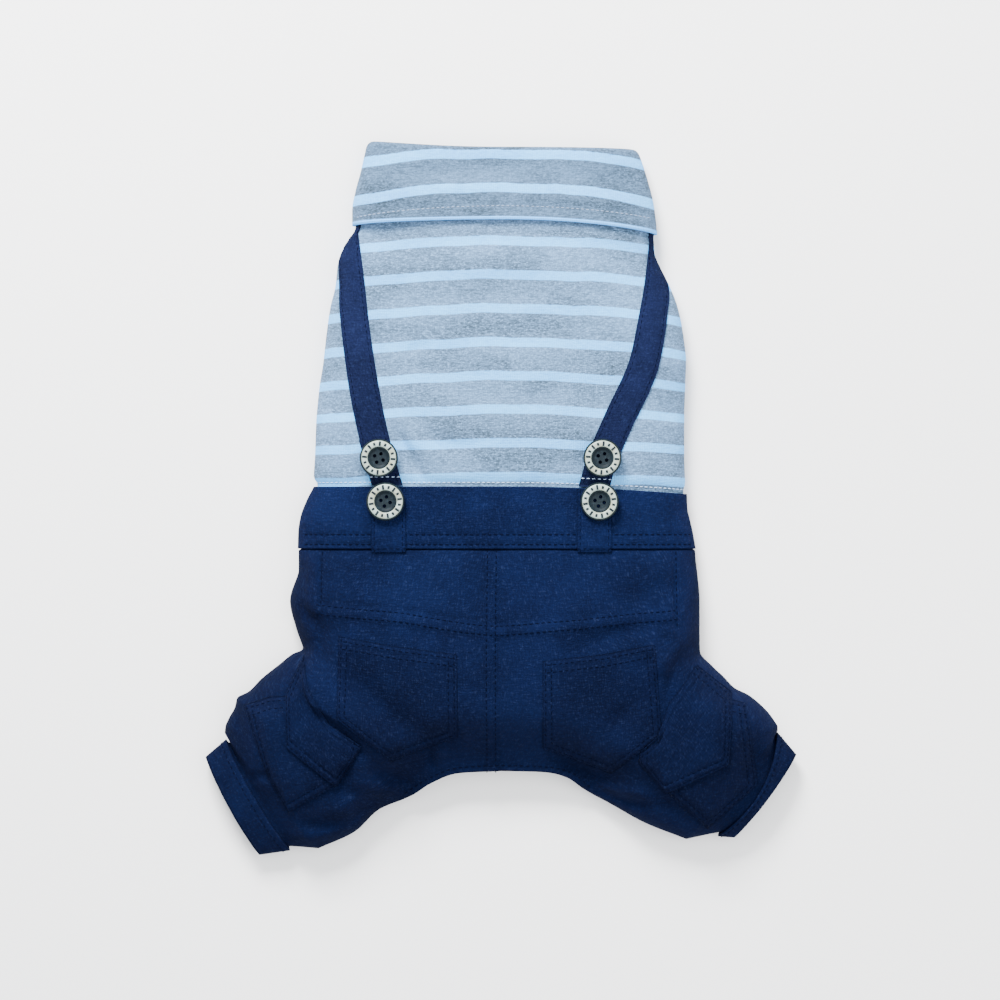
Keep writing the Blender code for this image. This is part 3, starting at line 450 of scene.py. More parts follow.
def fine_path(path, count):
    """A smooth curve through a path, as a number of points."""
    path = np.asarray(path, float)
    return smooth_rows(path, np.arange(len(path)), np.linspace(0, len(path) - 1, count))


def from_sides(x):
    """How far in x each point of a grid is from the nearer end of its row."""
    return np.minimum(x - x.min(axis=1, keepdims=True), x.max(axis=1, keepdims=True) - x)


def plan(points):
    """A path in shares of LEG_REACH and RISE as points in metres."""
    return np.array(points) * (LEG_REACH, RISE) + (0, SEAM_Y)


def path_distance(x, y, path):
    """Distance, signed side (left positive) and share along, from points to a path."""
    path = np.asarray(path, float)
    lengths = np.linalg.norm(np.diff(path, axis=0), axis=1)
    before = np.concatenate([[0], np.cumsum(lengths)])
    best = np.full(np.shape(x), np.inf)
    side, along = np.zeros(np.shape(x)), np.zeros(np.shape(x))
    for (start, end, length, run) in zip(path, path[1:], lengths, before):
        dx, dy = end - start
        t = np.clip(((x - start[0]) * dx + (y - start[1]) * dy) / length**2, 0, 1)
        away = np.hypot(x - start[0] - t * dx, y - start[1] - t * dy)
        cross = dx * (y - start[1]) - dy * (x - start[0])
        nearer = away < best
        best = np.where(nearer, away, best)
        side = np.where(nearer, np.sign(cross), side)
        along = np.where(nearer, (run + t * length) / before[-1], along)
    return best, side, along


def fold_lift(x, y, folds, scale, origin):
    """How far a list of folds lifts the cloth at some points."""
    lift = np.zeros(np.shape(x))
    for fold in folds:
        path = np.array(fold.path) * scale + origin
        away, side, along = path_distance(x, y, fine_path(path, 4 * len(path)))
        ends = np.sin(np.pi * np.clip(along, 0.02, 0.98)) ** 0.5
        width, height = fold.width * MM, fold.height * MM
        if fold.kind == "ridge":
            lift += height * ends * bell(away, width)
        else:
            above = np.clip(0.5 + 0.5 * np.tanh(side * away / width), 0, 1)
            lift += height * ends * bell(away, 9 * width) * above
    return lift


def ripple(x, y, size, seed):
    """Soft uneven waves, about size apart, from -1 to 1."""
    flat = np.stack([np.ravel(x), np.ravel(y)], axis=1) / size
    values = [noise.noise(Vector((px + seed * 7.3, py - seed * 3.1, seed * 1.7))) for px, py in flat]
    return np.array(values).reshape(np.shape(x))


def waves(x, y, kinds):
    """Ripples of some kinds, added up."""
    return sum(height * MM * ripple(x, y, size * MM, seed) for height, size, seed in kinds)


def between(table, along):
    """The outline at a share along a piece."""
    stations = [row.along for row in table]
    return Outline(*smooth_rows(np.array(table), stations, [along])[0])


def flat_section(
        start, end, top, inset=0.0, dips=(0.0, 0.0), bow=(0.0, 0.0), across=ACROSS, shoulder=SHOULDER):
    """Upper and lower points of a flattened tube's section, from start to end in plan."""
    start, end = np.array(start, float), np.array(end, float)
    width = np.linalg.norm(end - start)
    half = width / 2 - inset
    place = -np.cos(np.pi * np.arange(across + 1) / across)
    middle = (start + end) / 2 + np.outer(place, (end - start) / width * half)
    middle[:, 1] -= np.where(place > 0, dips[1], dips[0]) * place**2
    middle += np.outer(1 - place**2, bow)
    edge = half * (1 - np.abs(place))
    over = SIDE_RIM + (top - inset - SIDE_RIM) * round_turn(edge / shoulder)
    under = SIDE_RIM - (SIDE_RIM - inset) * round_turn(edge / UNDER_TURN)
    return np.column_stack([middle, over]), np.column_stack([middle, under])


def trunk_section(row, y, half, loft, dip_scale, inset=0.0):
    dips = (row.dip_left * dip_scale, row.dip_right * dip_scale)
    start, end = (-row.left * half, SEAM_Y + y), (row.right * half, SEAM_Y + y)
    return flat_section(start, end, row.top * loft, inset, dips)


def collar_edge_y():
    return WAISTBAND_DEPTH + SHIRT_LENGTH


def collar_fold_y():
    return collar_edge_y() + COLLAR_DEPTH


def collar_section(y, inset):
    row = between(COLLAR, (collar_fold_y() - y) / COLLAR_DEPTH)
    return trunk_section(row, y, COLLAR_HALF, COLLAR_LOFT, COLLAR_DEPTH, inset)


def waistband_section(y, inset):
    row = between(WAISTBAND, 1 - y / WAISTBAND_DEPTH)
    return trunk_section(row, y, WAIST_HALF, WAIST_LOFT, WAISTBAND_DEPTH, inset)


def leg_section(leg, along, inset):
    """Section of a leg at a share of its band's depth."""
    out_run, inner_run = np.array(leg.out_run), np.array(leg.inner_run)
    out, inner = plan([(leg.out, -leg.out_drop), (leg.inner, -leg.inner_drop)])
    out = out + out_run * CUFF_DEPTH * along
    inner = inner + inner_run * CUFF_DEPTH * along
    top = LEG_END_LOFT + (CUFF_END_LOFT - LEG_END_LOFT) * along
    run = out_run + inner_run
    bow = run / np.linalg.norm(run) * (leg.bow * CUFF_DEPTH * (1 - along) + CUFF_END_BOW * along)
    return flat_section(out, inner, top, inset, bow=bow, across=LEG_ACROSS, shoulder=LEG_SHOULDER)


def stacked(sections):
    """Upper and lower grids with a section in each row."""
    return np.array([upper for upper, _ in sections]), np.array([lower for _, lower in sections])


def fine_stations(steps, first=0):
    """Stations from the first one on, with a number of steps between two whole ones."""
    spans = [np.linspace(i, i + 1, n, endpoint=False) for i, n in enumerate(steps, first)]
    return np.concatenate([*spans, [first + len(steps)]])


def loft(sections, steps):
    """Upper and lower grids through sections, with a number of fine rows in each gap."""
    stations, at = np.arange(len(sections)), fine_stations(steps)
    return tuple(smooth_rows(rows, stations, at) for rows in stacked(sections))


# Meshes


def arc_uv(grid):
    """Lengths across and along a grid of points, in metres, as its own flat map."""
    across = np.linalg.norm(np.diff(grid, axis=1), axis=2)
    along = np.linalg.norm(np.diff(grid, axis=0), axis=2)
    u = np.concatenate([np.zeros((len(grid), 1)), np.cumsum(across, axis=1)], axis=1)
    v = np.concatenate([np.zeros((1, grid.shape[1])), np.cumsum(along, axis=0)], axis=0)
    return np.stack([u - u[:, [u.shape[1] // 2]], v], axis=2)


def grid_faces(rows, columns, start=0, turned=False):
    index = start + np.arange(rows * columns).reshape(rows, columns)
    faces = np.stack([index[:-1, :-1], index[1:, :-1], index[1:, 1:], index[:-1, 1:]], axis=2).reshape(-1, 4)
    return faces[:, ::-1] if turned else faces


def mesh_of(name, points, faces, uv=None, fields=None):
    """A smooth mesh with a flat map and point fields."""
    mesh = bpy.data.meshes.new(name)
    mesh.from_pydata([tuple(p) for p in points], [], [tuple(int(i) for i in f) for f in faces])
    if uv is not None:
        layer = mesh.uv_layers.new(name="cloth")
        corners = np.array([loop.vertex_index for loop in mesh.loops])
        layer.data.foreach_set("uv", np.asarray(uv, float)[corners].ravel())
    for field, values in (fields or {}).items():
        layer = mesh.attributes.new(field, "FLOAT", "POINT")
        layer.data.foreach_set("value", np.asarray(values, float).ravel())
    mesh.shade_smooth()
    return mesh


def add_piece(name, mesh):
    piece = bpy.data.objects.new(name, mesh)
    bpy.context.scene.collection.objects.link(piece)
    return piece


def weld(mesh):
    shape = bmesh.new()
    shape.from_mesh(mesh)
    bmesh.ops.remove_doubles(shape, verts=shape.verts, dist=0.01 * MM)
    shape.to_mesh(mesh)
    shape.free()


def apply_modifiers(piece):
    """The piece with its modifiers made part of its mesh."""
    graph = bpy.context.evaluated_depsgraph_get()
    made = bpy.data.meshes.new_from_object(
        piece.evaluated_get(graph), preserve_all_data_layers=True, depsgraph=graph)
    old = piece.data
    piece.modifiers.clear()
    piece.data = made
    bpy.data.meshes.remove(old)
    made.name = piece.name


def shape_piece(name, shape):
    """A piece with the mesh of an edited shape, which is used up."""
    mesh = bpy.data.meshes.new(name)
    shape.to_mesh(mesh)
    shape.free()
    return add_piece(name, mesh)


def cut_away(piece, cutters):
    """Cuts the cutters out of the piece, and removes them."""
    for cutter in cutters:
        cut = piece.modifiers.new(cutter.name, "BOOLEAN")
        cut.object, cut.solver = cutter, "EXACT"
    apply_modifiers(piece)
    for cutter in cutters:
        bpy.data.objects.remove(cutter)


def add_wall(piece, wall):
    shell = piece.modifiers.new("wall", "SOLIDIFY")
    shell.thickness = wall
    shell.offset = -1.0
    shell.use_even_offset = True
    apply_modifiers(piece)


def dress(piece, finish, node):
    piece.data.materials.clear()
    piece.data.materials.append(finish)
    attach(piece, BODY)
    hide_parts(node)


def tube_piece(name, upper, lower, wall, fields=None):
    """An open flattened tube from its upper and lower grids."""
    rows, columns = upper.shape[:2]
    points = np.concatenate([upper.reshape(-1, 3), lower.reshape(-1, 3)])
    faces = np.concatenate([
        grid_faces(rows, columns, turned=True),
        grid_faces(rows, columns, start=rows * columns),
    ])
    uv = np.concatenate([arc_uv(upper).reshape(-1, 2), arc_uv(lower).reshape(-1, 2)])
    mesh = mesh_of(name, points, faces, uv, fields)
    weld(mesh)
    piece = add_piece(name, mesh)
    add_wall(piece, wall)
    return piece


class Ground:
    """What a sewn piece lies on: the highest of some pieces at a plan point."""

    def __init__(self, pieces):
        graph = bpy.context.evaluated_depsgraph_get()
        self.trees = [BVHTree.FromObject(piece, graph) for piece in pieces]

    def at(self, x, y):
        down = Vector((0, 0, -1))
        start = Vector((x, y, 0.2))
        hits = [tree.ray_cast(start, down)[0] for tree in self.trees]
        return max([hit.z for hit in hits if hit is not None], default=-1.0)

    def over(self, points):
        """Heights at a grid of plan points, below nothing where the ground is missed."""
        return np.array([[self.at(x, y) for x, y in row] for row in points])

    def heights(self, points):
        """Heights at a grid of plan points; a point off the ground takes the least of the others."""
        found = self.over(points)
        lowest = found[found > 0].min() if (found > 0).any() else SIDE_RIM
        return np.where(found > 0, found, lowest)

    def kept_on(self, points):
        """The plan points, with any that miss the ground or its upper side drawn inwards."""
        points = points.copy()
        centre = points.reshape(-1, 2).mean(axis=0)
        for _ in range(8):
            found = self.over(points)
            low = found < 0.45 * found.max()
            if not low.any():
                break
            points[low] += 0.04 * (centre - points[low])
        return points


def relaxed(heights, rounds):
    """Heights smoothed as stiff cloth smooths them, from where they started to a little above."""
    smooth = heights.copy()
    for _ in range(rounds):
        padded = np.pad(smooth, 1, mode="edge")
        smooth = (padded[:-2, 1:-1] + padded[2:, 1:-1] + padded[1:-1, :-2] + padded[1:-1, 2:]) / 4
        smooth = np.clip(smooth, heights, heights + 0.7 * MM)
    return smooth


def along_path(points, shares):
    points = np.asarray(points, float)
    run = np.concatenate([[0], np.cumsum(np.linalg.norm(np.diff(points, axis=0), axis=1))])
    return np.stack([np.interp(np.asarray(shares) * run[-1], run, column) for column in points.T], axis=1)


class Quad:
    """A four-sided patch in plan, between an upper and a lower path."""

    def __init__(self, upper, lower):
        self.upper, self.lower = upper, lower

    def at(self, u, v):
        u, v = np.broadcast_arrays(np.asarray(u, float), np.asarray(v, float))
        upper, lower = (
            along_path(line, u.ravel()).reshape(*u.shape, 2) for line in (self.upper, self.lower))
        return upper + (lower - upper) * v[..., None]

    def width(self, v):
        return np.linalg.norm(self.at(1.0, v) - self.at(0.0, v), axis=-1)

    def height(self, u):
        return np.linalg.norm(self.at(u, 1.0) - self.at(u, 0.0), axis=-1)

    def grid(self, rows, columns):
        v, u = np.meshgrid(np.linspace(0, 1, rows + 1), np.linspace(0, 1, columns + 1), indexing="ij")
        width, height = self.width(v), self.height(u)
        inside = np.minimum(np.minimum(u, 1 - u) * width, np.minimum(v, 1 - v) * height)
        return self.at(u, v), inside

    def border(self, distance, steps=40):
        """A path inside both sides and the lower edge."""
        v = np.linspace(0.04, 1 - float(distance / self.height(0.0)), steps)
        left = self.at(distance / self.width(v), v)
        u = np.linspace(float(distance / self.width(1.0)), 1 - float(distance / self.width(1.0)), steps)
        low = self.at(u, 1 - distance / self.height(u))
        v = np.linspace(1 - float(distance / self.height(1.0)), 0.04, steps)
        right = self.at(1 - distance / self.width(v), v)
        return np.concatenate([left, low[1:], right[1:]])

    def top_row(self, distance, steps=40):
        """A path under the upper edge."""
        u = np.linspace(0.05, 0.95, steps)
        return self.at(u, distance / self.height(u))


def patch_piece(name, points, inside, wall, ground, crown, relax, grooves):
    """A piece of cloth from a grid of plan points, laid on the ground with rounded edges."""
    rows, columns = points.shape[:2]
    base = relaxed(ground.heights(points) + LAYER_GAP, relax)
    base -= (LAYER_GAP - 0.12 * MM) * (1 - smooth_step(inside / (1.6 * MM)))
    top = base + wall * (0.35 + 0.65 * round_turn(inside / (0.9 * MM)))
    top += crown * smooth_step(inside / (9 * MM))
    for groove in grooves:
        top -= 0.30 * wall * bell(inside - groove, 0.55 * MM)
    x, y = points[..., 0], points[..., 1]
    pucker = ripple(x, y, 3.4 * MM, 33) * bell(inside - 2.5 * MM, 2.6 * MM)
    top += (0.18 * ripple(x, y, 6 * MM, 31) + 0.42 * pucker) * MM * smooth_step(inside / (1 * MM))
    upper = np.dstack([points, top])
    lower = np.dstack([points, base])
    flat = np.concatenate([upper.reshape(-1, 3), lower.reshape(-1, 3)])
    count = rows * columns
    area = (points[-1, 0, 0] - points[0, 0, 0]) * (points[-1, -1, 1] - points[0, 0, 1])
    area -= (points[-1, -1, 0] - points[0, 0, 0]) * (points[-1, 0, 1] - points[0, 0, 1])
    turned = area < 0
    faces = [grid_faces(rows, columns, turned=turned), grid_faces(rows, columns, count, not turned)]
    index = np.arange(count).reshape(rows, columns)
    rim = np.concatenate([index[0, :], index[1:, -1], index[-1, -2::-1], index[-2:0:-1, 0]])
    following = np.roll(rim, -1)
    side = np.stack([rim, rim + count, following + count, following], axis=1)
    faces.append(side[:, ::-1] if turned else side)
    uv = np.concatenate([arc_uv(upper).reshape(-1, 2)] * 2)
    mesh = mesh_of(name, flat, np.concatenate(faces), uv)
    return add_piece(name, mesh), upper


# Finishes


def feed(tree, slot, value):
    """Links a value to a shader slot, or sets the slot to a constant."""
    if isinstance(value, Value):
        tree.links.new(value.socket, slot)
    else:
        slot.default_value = value


class Value:
    """A shader socket that can be used in arithmetic."""

    def __init__(self, tree, socket):
        self.tree, self.socket = tree, socket

    def math(self, operation, *others, first=None):
        node = self.tree.nodes.new("ShaderNodeMath")
        node.operation = operation
        operands = [self, *others] if first is None else [first, self, *others]
        for slot, operand in zip(node.inputs, operands):
            feed(self.tree, slot, operand)
        return Value(self.tree, node.outputs[0])

    def __add__(self, other):
        return self.math("ADD", other)

    __radd__ = __add__

    def __mul__(self, other):
        return self.math("MULTIPLY", other)

    __rmul__ = __mul__

    def __sub__(self, other):
        return self.math("SUBTRACT", other)

    def __rsub__(self, other):
        return self.math("SUBTRACT", first=other)

    def __truediv__(self, other):
        return self.math("DIVIDE", other)

    def sine(self):
        return self.math("SINE")

    def size(self):
        return self.math("ABSOLUTE")

    def wave(self, pitch):
        """From 0 to 1 and back once in each pitch."""
        return (self * (2 * math.pi / pitch)).sine() * 0.5 + 0.5

    def ramp(self, low, high):
        """From 0 at low to 1 at high, eased at both ends."""
        node = self.tree.nodes.new("ShaderNodeMapRange")
        node.interpolation_type = "SMOOTHSTEP"
        self.tree.links.new(self.socket, node.inputs["Value"])
        node.inputs["From Min"].default_value = low
        node.inputs["From Max"].default_value = high
        return Value(self.tree, node.outputs["Result"])


class Finish:
    """A material and the few ways its nodes are made."""

    def __init__(self, name, **constants):
        self.material = bpy.data.materials.new(name)
        self.material.use_nodes = True
        self.tree = self.material.node_tree
        self.shader = self.tree.nodes["Principled BSDF"]
        for socket, value in constants.items():
            self.shader.inputs[socket.replace("_", " ")].default_value = value

    def node(self, kind, settings=None, inputs=None):
        made = self.tree.nodes.new(kind)
        for setting, value in (settings or {}).items():
            setattr(made, setting, value)
        for socket, value in (inputs or {}).items():
            feed(self.tree, made.inputs[socket], value)
        return made

    def out(self, node, socket=0):
        return Value(self.tree, node.outputs[socket])

    def place(self):
        """Object coordinates of the point."""
        return self.out(self.node("ShaderNodeTexCoord"), "Object")

    def flat(self):
        """The cloth's own flat map, in metres."""
        return self.out(self.node("ShaderNodeUVMap", {"uv_map": "cloth"}))

    def parts(self, vector):
        node = self.node("ShaderNodeSeparateXYZ", inputs={"Vector": vector})
        return self.out(node, 0), self.out(node, 1), self.out(node, 2)

    def stretched(self, vector, scale):
        node = self.node("ShaderNodeVectorMath", {"operation": "MULTIPLY"}, {0: vector, 1: scale})
        return self.out(node)

    def grain(self, vector, scale, detail=2.0, roughness=0.5):
        node = self.node("ShaderNodeTexNoise", inputs={
            "Vector": vector, "Scale": scale, "Detail": detail, "Roughness": roughness})
        return self.out(node, 0)

    def field(self, name):
        return self.out(self.node("ShaderNodeAttribute", {"attribute_name": name}), "Fac")

    def mix(self, share, first, second):
        first, second = (
            part if isinstance(part, Value) else (*part, 1.0) for part in (first, second))
        node = self.node("ShaderNodeMix", {"data_type": "RGBA"}, {0: share, 6: first, 7: second})
        return self.out(node, 2)

    def set(self, socket, value):
        self.tree.links.new(value.socket, self.shader.inputs[socket])

    def bump(self, height, depth, strength=1.0):
        node = self.node(
            "ShaderNodeBump", inputs={"Height": height, "Distance": depth, "Strength": strength})
        self.set("Normal", self.out(node))


def shade(colour, factor):
    return tuple(min(channel * factor, 1.0) for channel in colour)


def twill_finish(name, colour):
    """Navy cotton twill: diagonal wales, slubs, faded patches, and painted shade that darkens the cloth
    towards the legs.
    """
    finish = Finish(name, Roughness=0.95, Specular_IOR_Level=0.03)
    flat = finish.flat()
    u, v, _ = finish.parts(flat)
    wale = (u + v).wave(0.66 * MM)
    warp = finish.grain(finish.stretched(flat, (1500, 320, 1)), 1.0, 3.0, 0.65)
    weft = finish.grain(finish.stretched(flat, (260, 1300, 1)), 1.0, 3.0, 0.65)
    fade = finish.grain(finish.place(), 34.0, 3.0, 0.55)
    nap = finish.grain(finish.place(), 1100.0, 2.0, 0.7)
    thread = warp.ramp(0.36, 0.66) * 0.5 + weft.ramp(0.36, 0.66) * 0.5
    _, along, _ = finish.parts(finish.place())
    wear_and_painted_shade = fade.ramp(0.34, 0.68) * 0.35 + thread * 0.35 + nap.ramp(0.42, 0.66) * 0.30
    # Painted shade: the cloth is darkened towards the legs, where less light falls on it.
    wear_and_painted_shade *= 0.84 + 0.16 * along.ramp(-0.115, -0.040)
    base = finish.mix(wear_and_painted_shade, shade(colour, 0.45), shade(colour, 1.50))
    pale = thread.ramp(0.66, 0.90) * 0.08
    base = finish.mix(pale, base, (0.045, 0.075, 0.150))
    finish.set("Base Color", finish.mix(wale * 0.28, base, shade(colour, 0.45)))
    finish.bump(wale * 0.5 + thread * 0.9 + nap * 0.3, 0.22 * MM)
    return finish.material


def jersey_finish(name, sizes, colours, first_stripe, edge_field=None, depth=1.0):
    """Marl jersey with pale stripes that follow the knitted rows."""
    finish = Finish(
        name, Roughness=0.95, Sheen_Weight=0.04, Sheen_Roughness=0.6, Specular_IOR_Level=0.08)
    place = finish.place()
    knit = finish.field("knit")
    flat = finish.flat()
    u, v, _ = finish.parts(flat)
    streak = finish.grain(finish.stretched(place, (240, 1000, 240)), 1.0, 4.0, 0.7)
    fleck = finish.grain(finish.stretched(place, (800, 1500, 800)), 1.0, 2.0, 0.7)
    cloud_tone_and_shade = finish.grain(finish.stretched(place, (26, 60, 40)), 1.0, 3.0, 0.5)
    wave = finish.grain(finish.stretched(place, (34, 8, 8)), 1.0, 1.0, 0.4)
    dark = streak.ramp(0.42, 0.60) * 0.5 + fleck.ramp(0.42, 0.60) * 0.5
    band = finish.grain(finish.stretched(place, (7, 48, 7)), 1.0, 1.0, 0.4)
    # The cloud and band blotches are partly the marl's own uneven tone and partly painted shade of soft
    # wrinkles.
    tone = dark * 0.56 + cloud_tone_and_shade.ramp(0.42, 0.60) * 0.26 + band.ramp(0.42, 0.60) * 0.18
    # depth scales the marl's colours; a depth under 1, as on the collar, is painted shade.
    ash = tuple(value * weight * depth for value, weight in zip(colours.marl, (0.50, 0.41, 0.32)))
    marl = finish.mix(tone, shade(colours.marl, 2.2 * depth), ash)
    pale = (1 - fleck).ramp(0.56, 0.68) * (0.50 * depth)
    marl = finish.mix(pale, marl, shade(colours.marl, 3.4 * depth))
    wobble = (streak - 0.5) * (0.9 * MM) + (wave - 0.5) * (3.2 * MM)
    row = (knit + wobble - first_stripe) / sizes.stripe_pitch
    saw = (row + 0.5 - (row + 0.5).math("FLOOR")) - 0.5
    near = saw.size() * sizes.stripe_pitch
    half = sizes.stripe_width / 2
    stripe = 1 - near.ramp(half - 0.25 * MM, half + 0.25 * MM)
    tint = finish.mix(tone, shade(colours.stripe, 1.15), shade(colours.stripe, 0.72))
    colour = finish.mix(stripe, marl, tint)
    if edge_field:
        edge = 1 - finish.field(edge_field).ramp(1.2 * MM, 1.7 * MM)
        colour = finish.mix(edge, colour, colours.stripe)
    wale = u.wave(0.85 * MM)
    course = v.wave(0.75 * MM)
    finish.set("Base Color", finish.mix(wale * 0.14, colour, shade(colours.marl, 0.6)))
    finish.bump(wale * 0.5 + course * 0.3 + fleck * 0.8, 0.20 * MM)
    return finish.material


def thread_finish(name, colour):
    finish = Finish(name, Roughness=0.95, Specular_IOR_Level=0.02)
    twist = finish.grain(finish.place(), 2200.0, 2.0)
    finish.set("Base Color", finish.mix(twist, shade(colour, 0.7), shade(colour, 1.35)))
    return finish.material


def shell_finish(name, colour):
    """Moulded button: satin plastic with fine, lighter scuffs."""
    finish = Finish(name, Coat_Weight=0.02, Coat_Roughness=0.4, Specular_IOR_Level=0.08)
    scuff = finish.grain(finish.place(), 900.0, 4.0, 0.6)
    haze = finish.grain(finish.place(), 120.0, 2.0)
    finish.set("Base Color", finish.mix(scuff.ramp(0.45, 0.75), shade(colour, 0.8), shade(colour, 1.6)))
    finish.set("Roughness", 0.40 + haze * 0.25 + scuff * 0.08)
    finish.bump(scuff, 0.03 * MM, 0.6)
    return finish.material


def ring_finish(name, colour):
    """Aged metal ring, with a yellowed patina and darker pits."""
    finish = Finish(name, Metallic=0.25)
    pit = finish.grain(finish.place(), 1500.0, 4.0, 0.7)
    patina = finish.grain(finish.place(), 260.0, 3.0, 0.6)
    pale = finish.mix(patina.ramp(0.35, 0.7), shade(colour, 1.15), (0.26, 0.28, 0.21))
    finish.set("Base Color", finish.mix(pit.ramp(0.55, 0.75) * 0.6, pale, shade(colour, 0.35)))
    finish.set("Roughness", 0.42 + patina * 0.2)
    finish.bump(pit, 0.04 * MM, 0.7)
    return finish.material


# Stitches


def stitch_tree():
    """Nodes that lay thread stitches along a path."""
    tree = bpy.data.node_groups.new("stitches", "GeometryNodeTree")
    face = tree.interface
    face.new_socket("Geometry", in_out="INPUT", socket_type="NodeSocketGeometry")
    for name in ("Pitch", "Length", "Width"):
        face.new_socket(name, in_out="INPUT", socket_type="NodeSocketFloat")
    face.new_socket("Thread", in_out="INPUT", socket_type="NodeSocketMaterial")
    face.new_socket("Geometry", in_out="OUTPUT", socket_type="NodeSocketGeometry")
    nodes, links = tree.nodes, tree.links
    entry, leave = nodes.new("NodeGroupInput"), nodes.new("NodeGroupOutput")
    spread = nodes.new("GeometryNodeCurveToPoints")
    spread.mode = "LENGTH"
    ball = nodes.new("GeometryNodeMeshUVSphere")
    for socket, value in (("Segments", 6), ("Rings", 5), ("Radius", 0.5)):
        ball.inputs[socket].default_value = value
    shape = nodes.new("ShaderNodeCombineXYZ")
    stitch = nodes.new("GeometryNodeTransform")
    place = nodes.new("GeometryNodeInstanceOnPoints")
    real = nodes.new("GeometryNodeRealizeInstances")
    smooth = nodes.new("GeometryNodeSetShadeSmooth")
    finish = nodes.new("GeometryNodeSetMaterial")
    for source, output, target, socket in (
        (entry, "Geometry", spread, "Curve"),
        (entry, "Pitch", spread, "Length"),
        (entry, "Width", shape, "X"),
        (entry, "Width", shape, "Y"),
        (entry, "Length", shape, "Z"),
        (ball, "Mesh", stitch, "Geometry"),
        (shape, "Vector", stitch, "Scale"),
        (spread, "Points", place, "Points"),
        (stitch, "Geometry", place, "Instance"),
        (spread, "Rotation", place, "Rotation"),
        (place, "Instances", real, "Geometry"),
        (real, "Geometry", smooth, "Geometry"),
        (smooth, "Geometry", finish, "Geometry"),
        (entry, "Thread", finish, "Material"),
        (finish, "Geometry", leave, "Geometry"),
    ):
        links.new(source.outputs[output], target.inputs[socket])
    return tree


def stitch_rows(name, paths, thread, sizes, slot, length=None, width=None, pitch=None):
    """One piece of thread stitches along some paths on the cloth."""
    curve = bpy.data.curves.new(name, "CURVE")
    curve.dimensions = "3D"
    for path in paths:
        spline = curve.splines.new("POLY")
        spline.points.add(len(path) - 1)
        spline.points.foreach_set("co", np.column_stack([path, np.ones(len(path))]).ravel())
    source = bpy.data.objects.new(name + "_path", curve)
    bpy.context.scene.collection.objects.link(source)
    maker = source.modifiers.new("stitches", "NODES")
    maker.node_group = bpy.data.node_groups.get("stitches") or stitch_tree()
    values = {
        "Pitch": pitch or sizes.stitch_pitch,
        "Length": length or sizes.stitch_length,
        "Width": width or sizes.stitch_width,
        "Thread": thread,
    }
    for item in maker.node_group.interface.items_tree:
        if item.in_out == "INPUT" and item.name in values:
            maker[item.identifier] = values[item.name]
    graph = bpy.context.evaluated_depsgraph_get()
    mesh = bpy.data.meshes.new_from_object(source.evaluated_get(graph), depsgraph=graph)
    bpy.data.objects.remove(source)
    mesh.name = name
    piece = add_piece(name, mesh)
    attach(piece, BODY)


def on_cloth(path, ground, lift=0.10 * MM):
    """A plan path laid on the cloth, with points close enough to follow its folds."""
    path = np.asarray(path, float)
    length = np.linalg.norm(np.diff(path, axis=0), axis=1).sum()
    count = max(int(length / (1.0 * MM)), 2)
    points = along_path(path, np.linspace(0, 1, count + 1))
    heights = [ground.at(x, y) for x, y in points]
    return np.array([(x, y, z + lift) for (x, y), z in zip(points, heights) if z > 0])


def offset_path(path, distance):
    """A plan path moved to its left."""
    path = np.asarray(path, float)
    run = np.gradient(path, axis=0)
    run /= np.linalg.norm(run, axis=1)[:, None]
    return path + np.column_stack([-run[:, 1], run[:, 0]]) * distance


# Operators


STATE = {}


class Step:
    """One step of the dressing, run from the sidebar or from main."""

    def execute(self, context):
        self.build(context.scene.suit_sizes)
        return {"FINISHED"}


class SUIT_OT_finishes(Step, bpy.types.Operator):
    """Make the cloth, thread, shell and ring finishes"""

    bl_idname = "suit.finishes"
    bl_label = "Finishes"

    def build(self, sizes):
        colours = bpy.context.scene.suit_colours
        stripe_y = SEAM_Y + WAISTBAND_DEPTH + HEM_STRIPE
        collar_y = SEAM_Y + collar_fold_y() - COLLAR_STRIPE
        STATE.update(
            twill=twill_finish("twill", tuple(colours.navy)),
            # The pockets get a darker copy of the twill: painted shade, since the pockets catch less light.
            pocket=twill_finish("shaded_pocket_twill", shade(colours.navy, 0.86)),
            band=twill_finish("band_twill", shade(colours.navy, 1.25)),
            tape=twill_finish("strap_tape", tuple(colours.strap_navy)),
            jersey=jersey_finish("jersey", sizes, colours, stripe_y),
            # The collar's jersey is darkened by depth 0.68: painted shade, since the collar gets less light.
            collar_jersey=jersey_finish("collar_jersey", sizes, colours, collar_y, "edge", 0.68),
            thread=thread_finish("navy_thread", tuple(colours.thread)),
            pale_thread=thread_finish("pale_thread", tuple(colours.pale_thread)),
            soft_thread=thread_finish("soft_thread", shade(colours.pale_thread, 0.5)),
            shell=shell_finish("button_shell", tuple(colours.shell)),
            ring=ring_finish("button_ring", tuple(colours.ring)),
            tick=thread_finish("ring_tick", tuple(colours.tick)),
        )


def knit_rows(points):
    """The knitted row that each point lies on: rows droop towards both sides, less so
    where the hem holds them."""
    from_hem = points[..., 1] - SEAM_Y - WAISTBAND_DEPTH
    held = 0.35 + 0.65 * smooth_step(from_hem / HEM_HOLD)
    return points[..., 1] + ROW_DROOP * held * (points[..., 0] / DROOP_HALF) ** 2


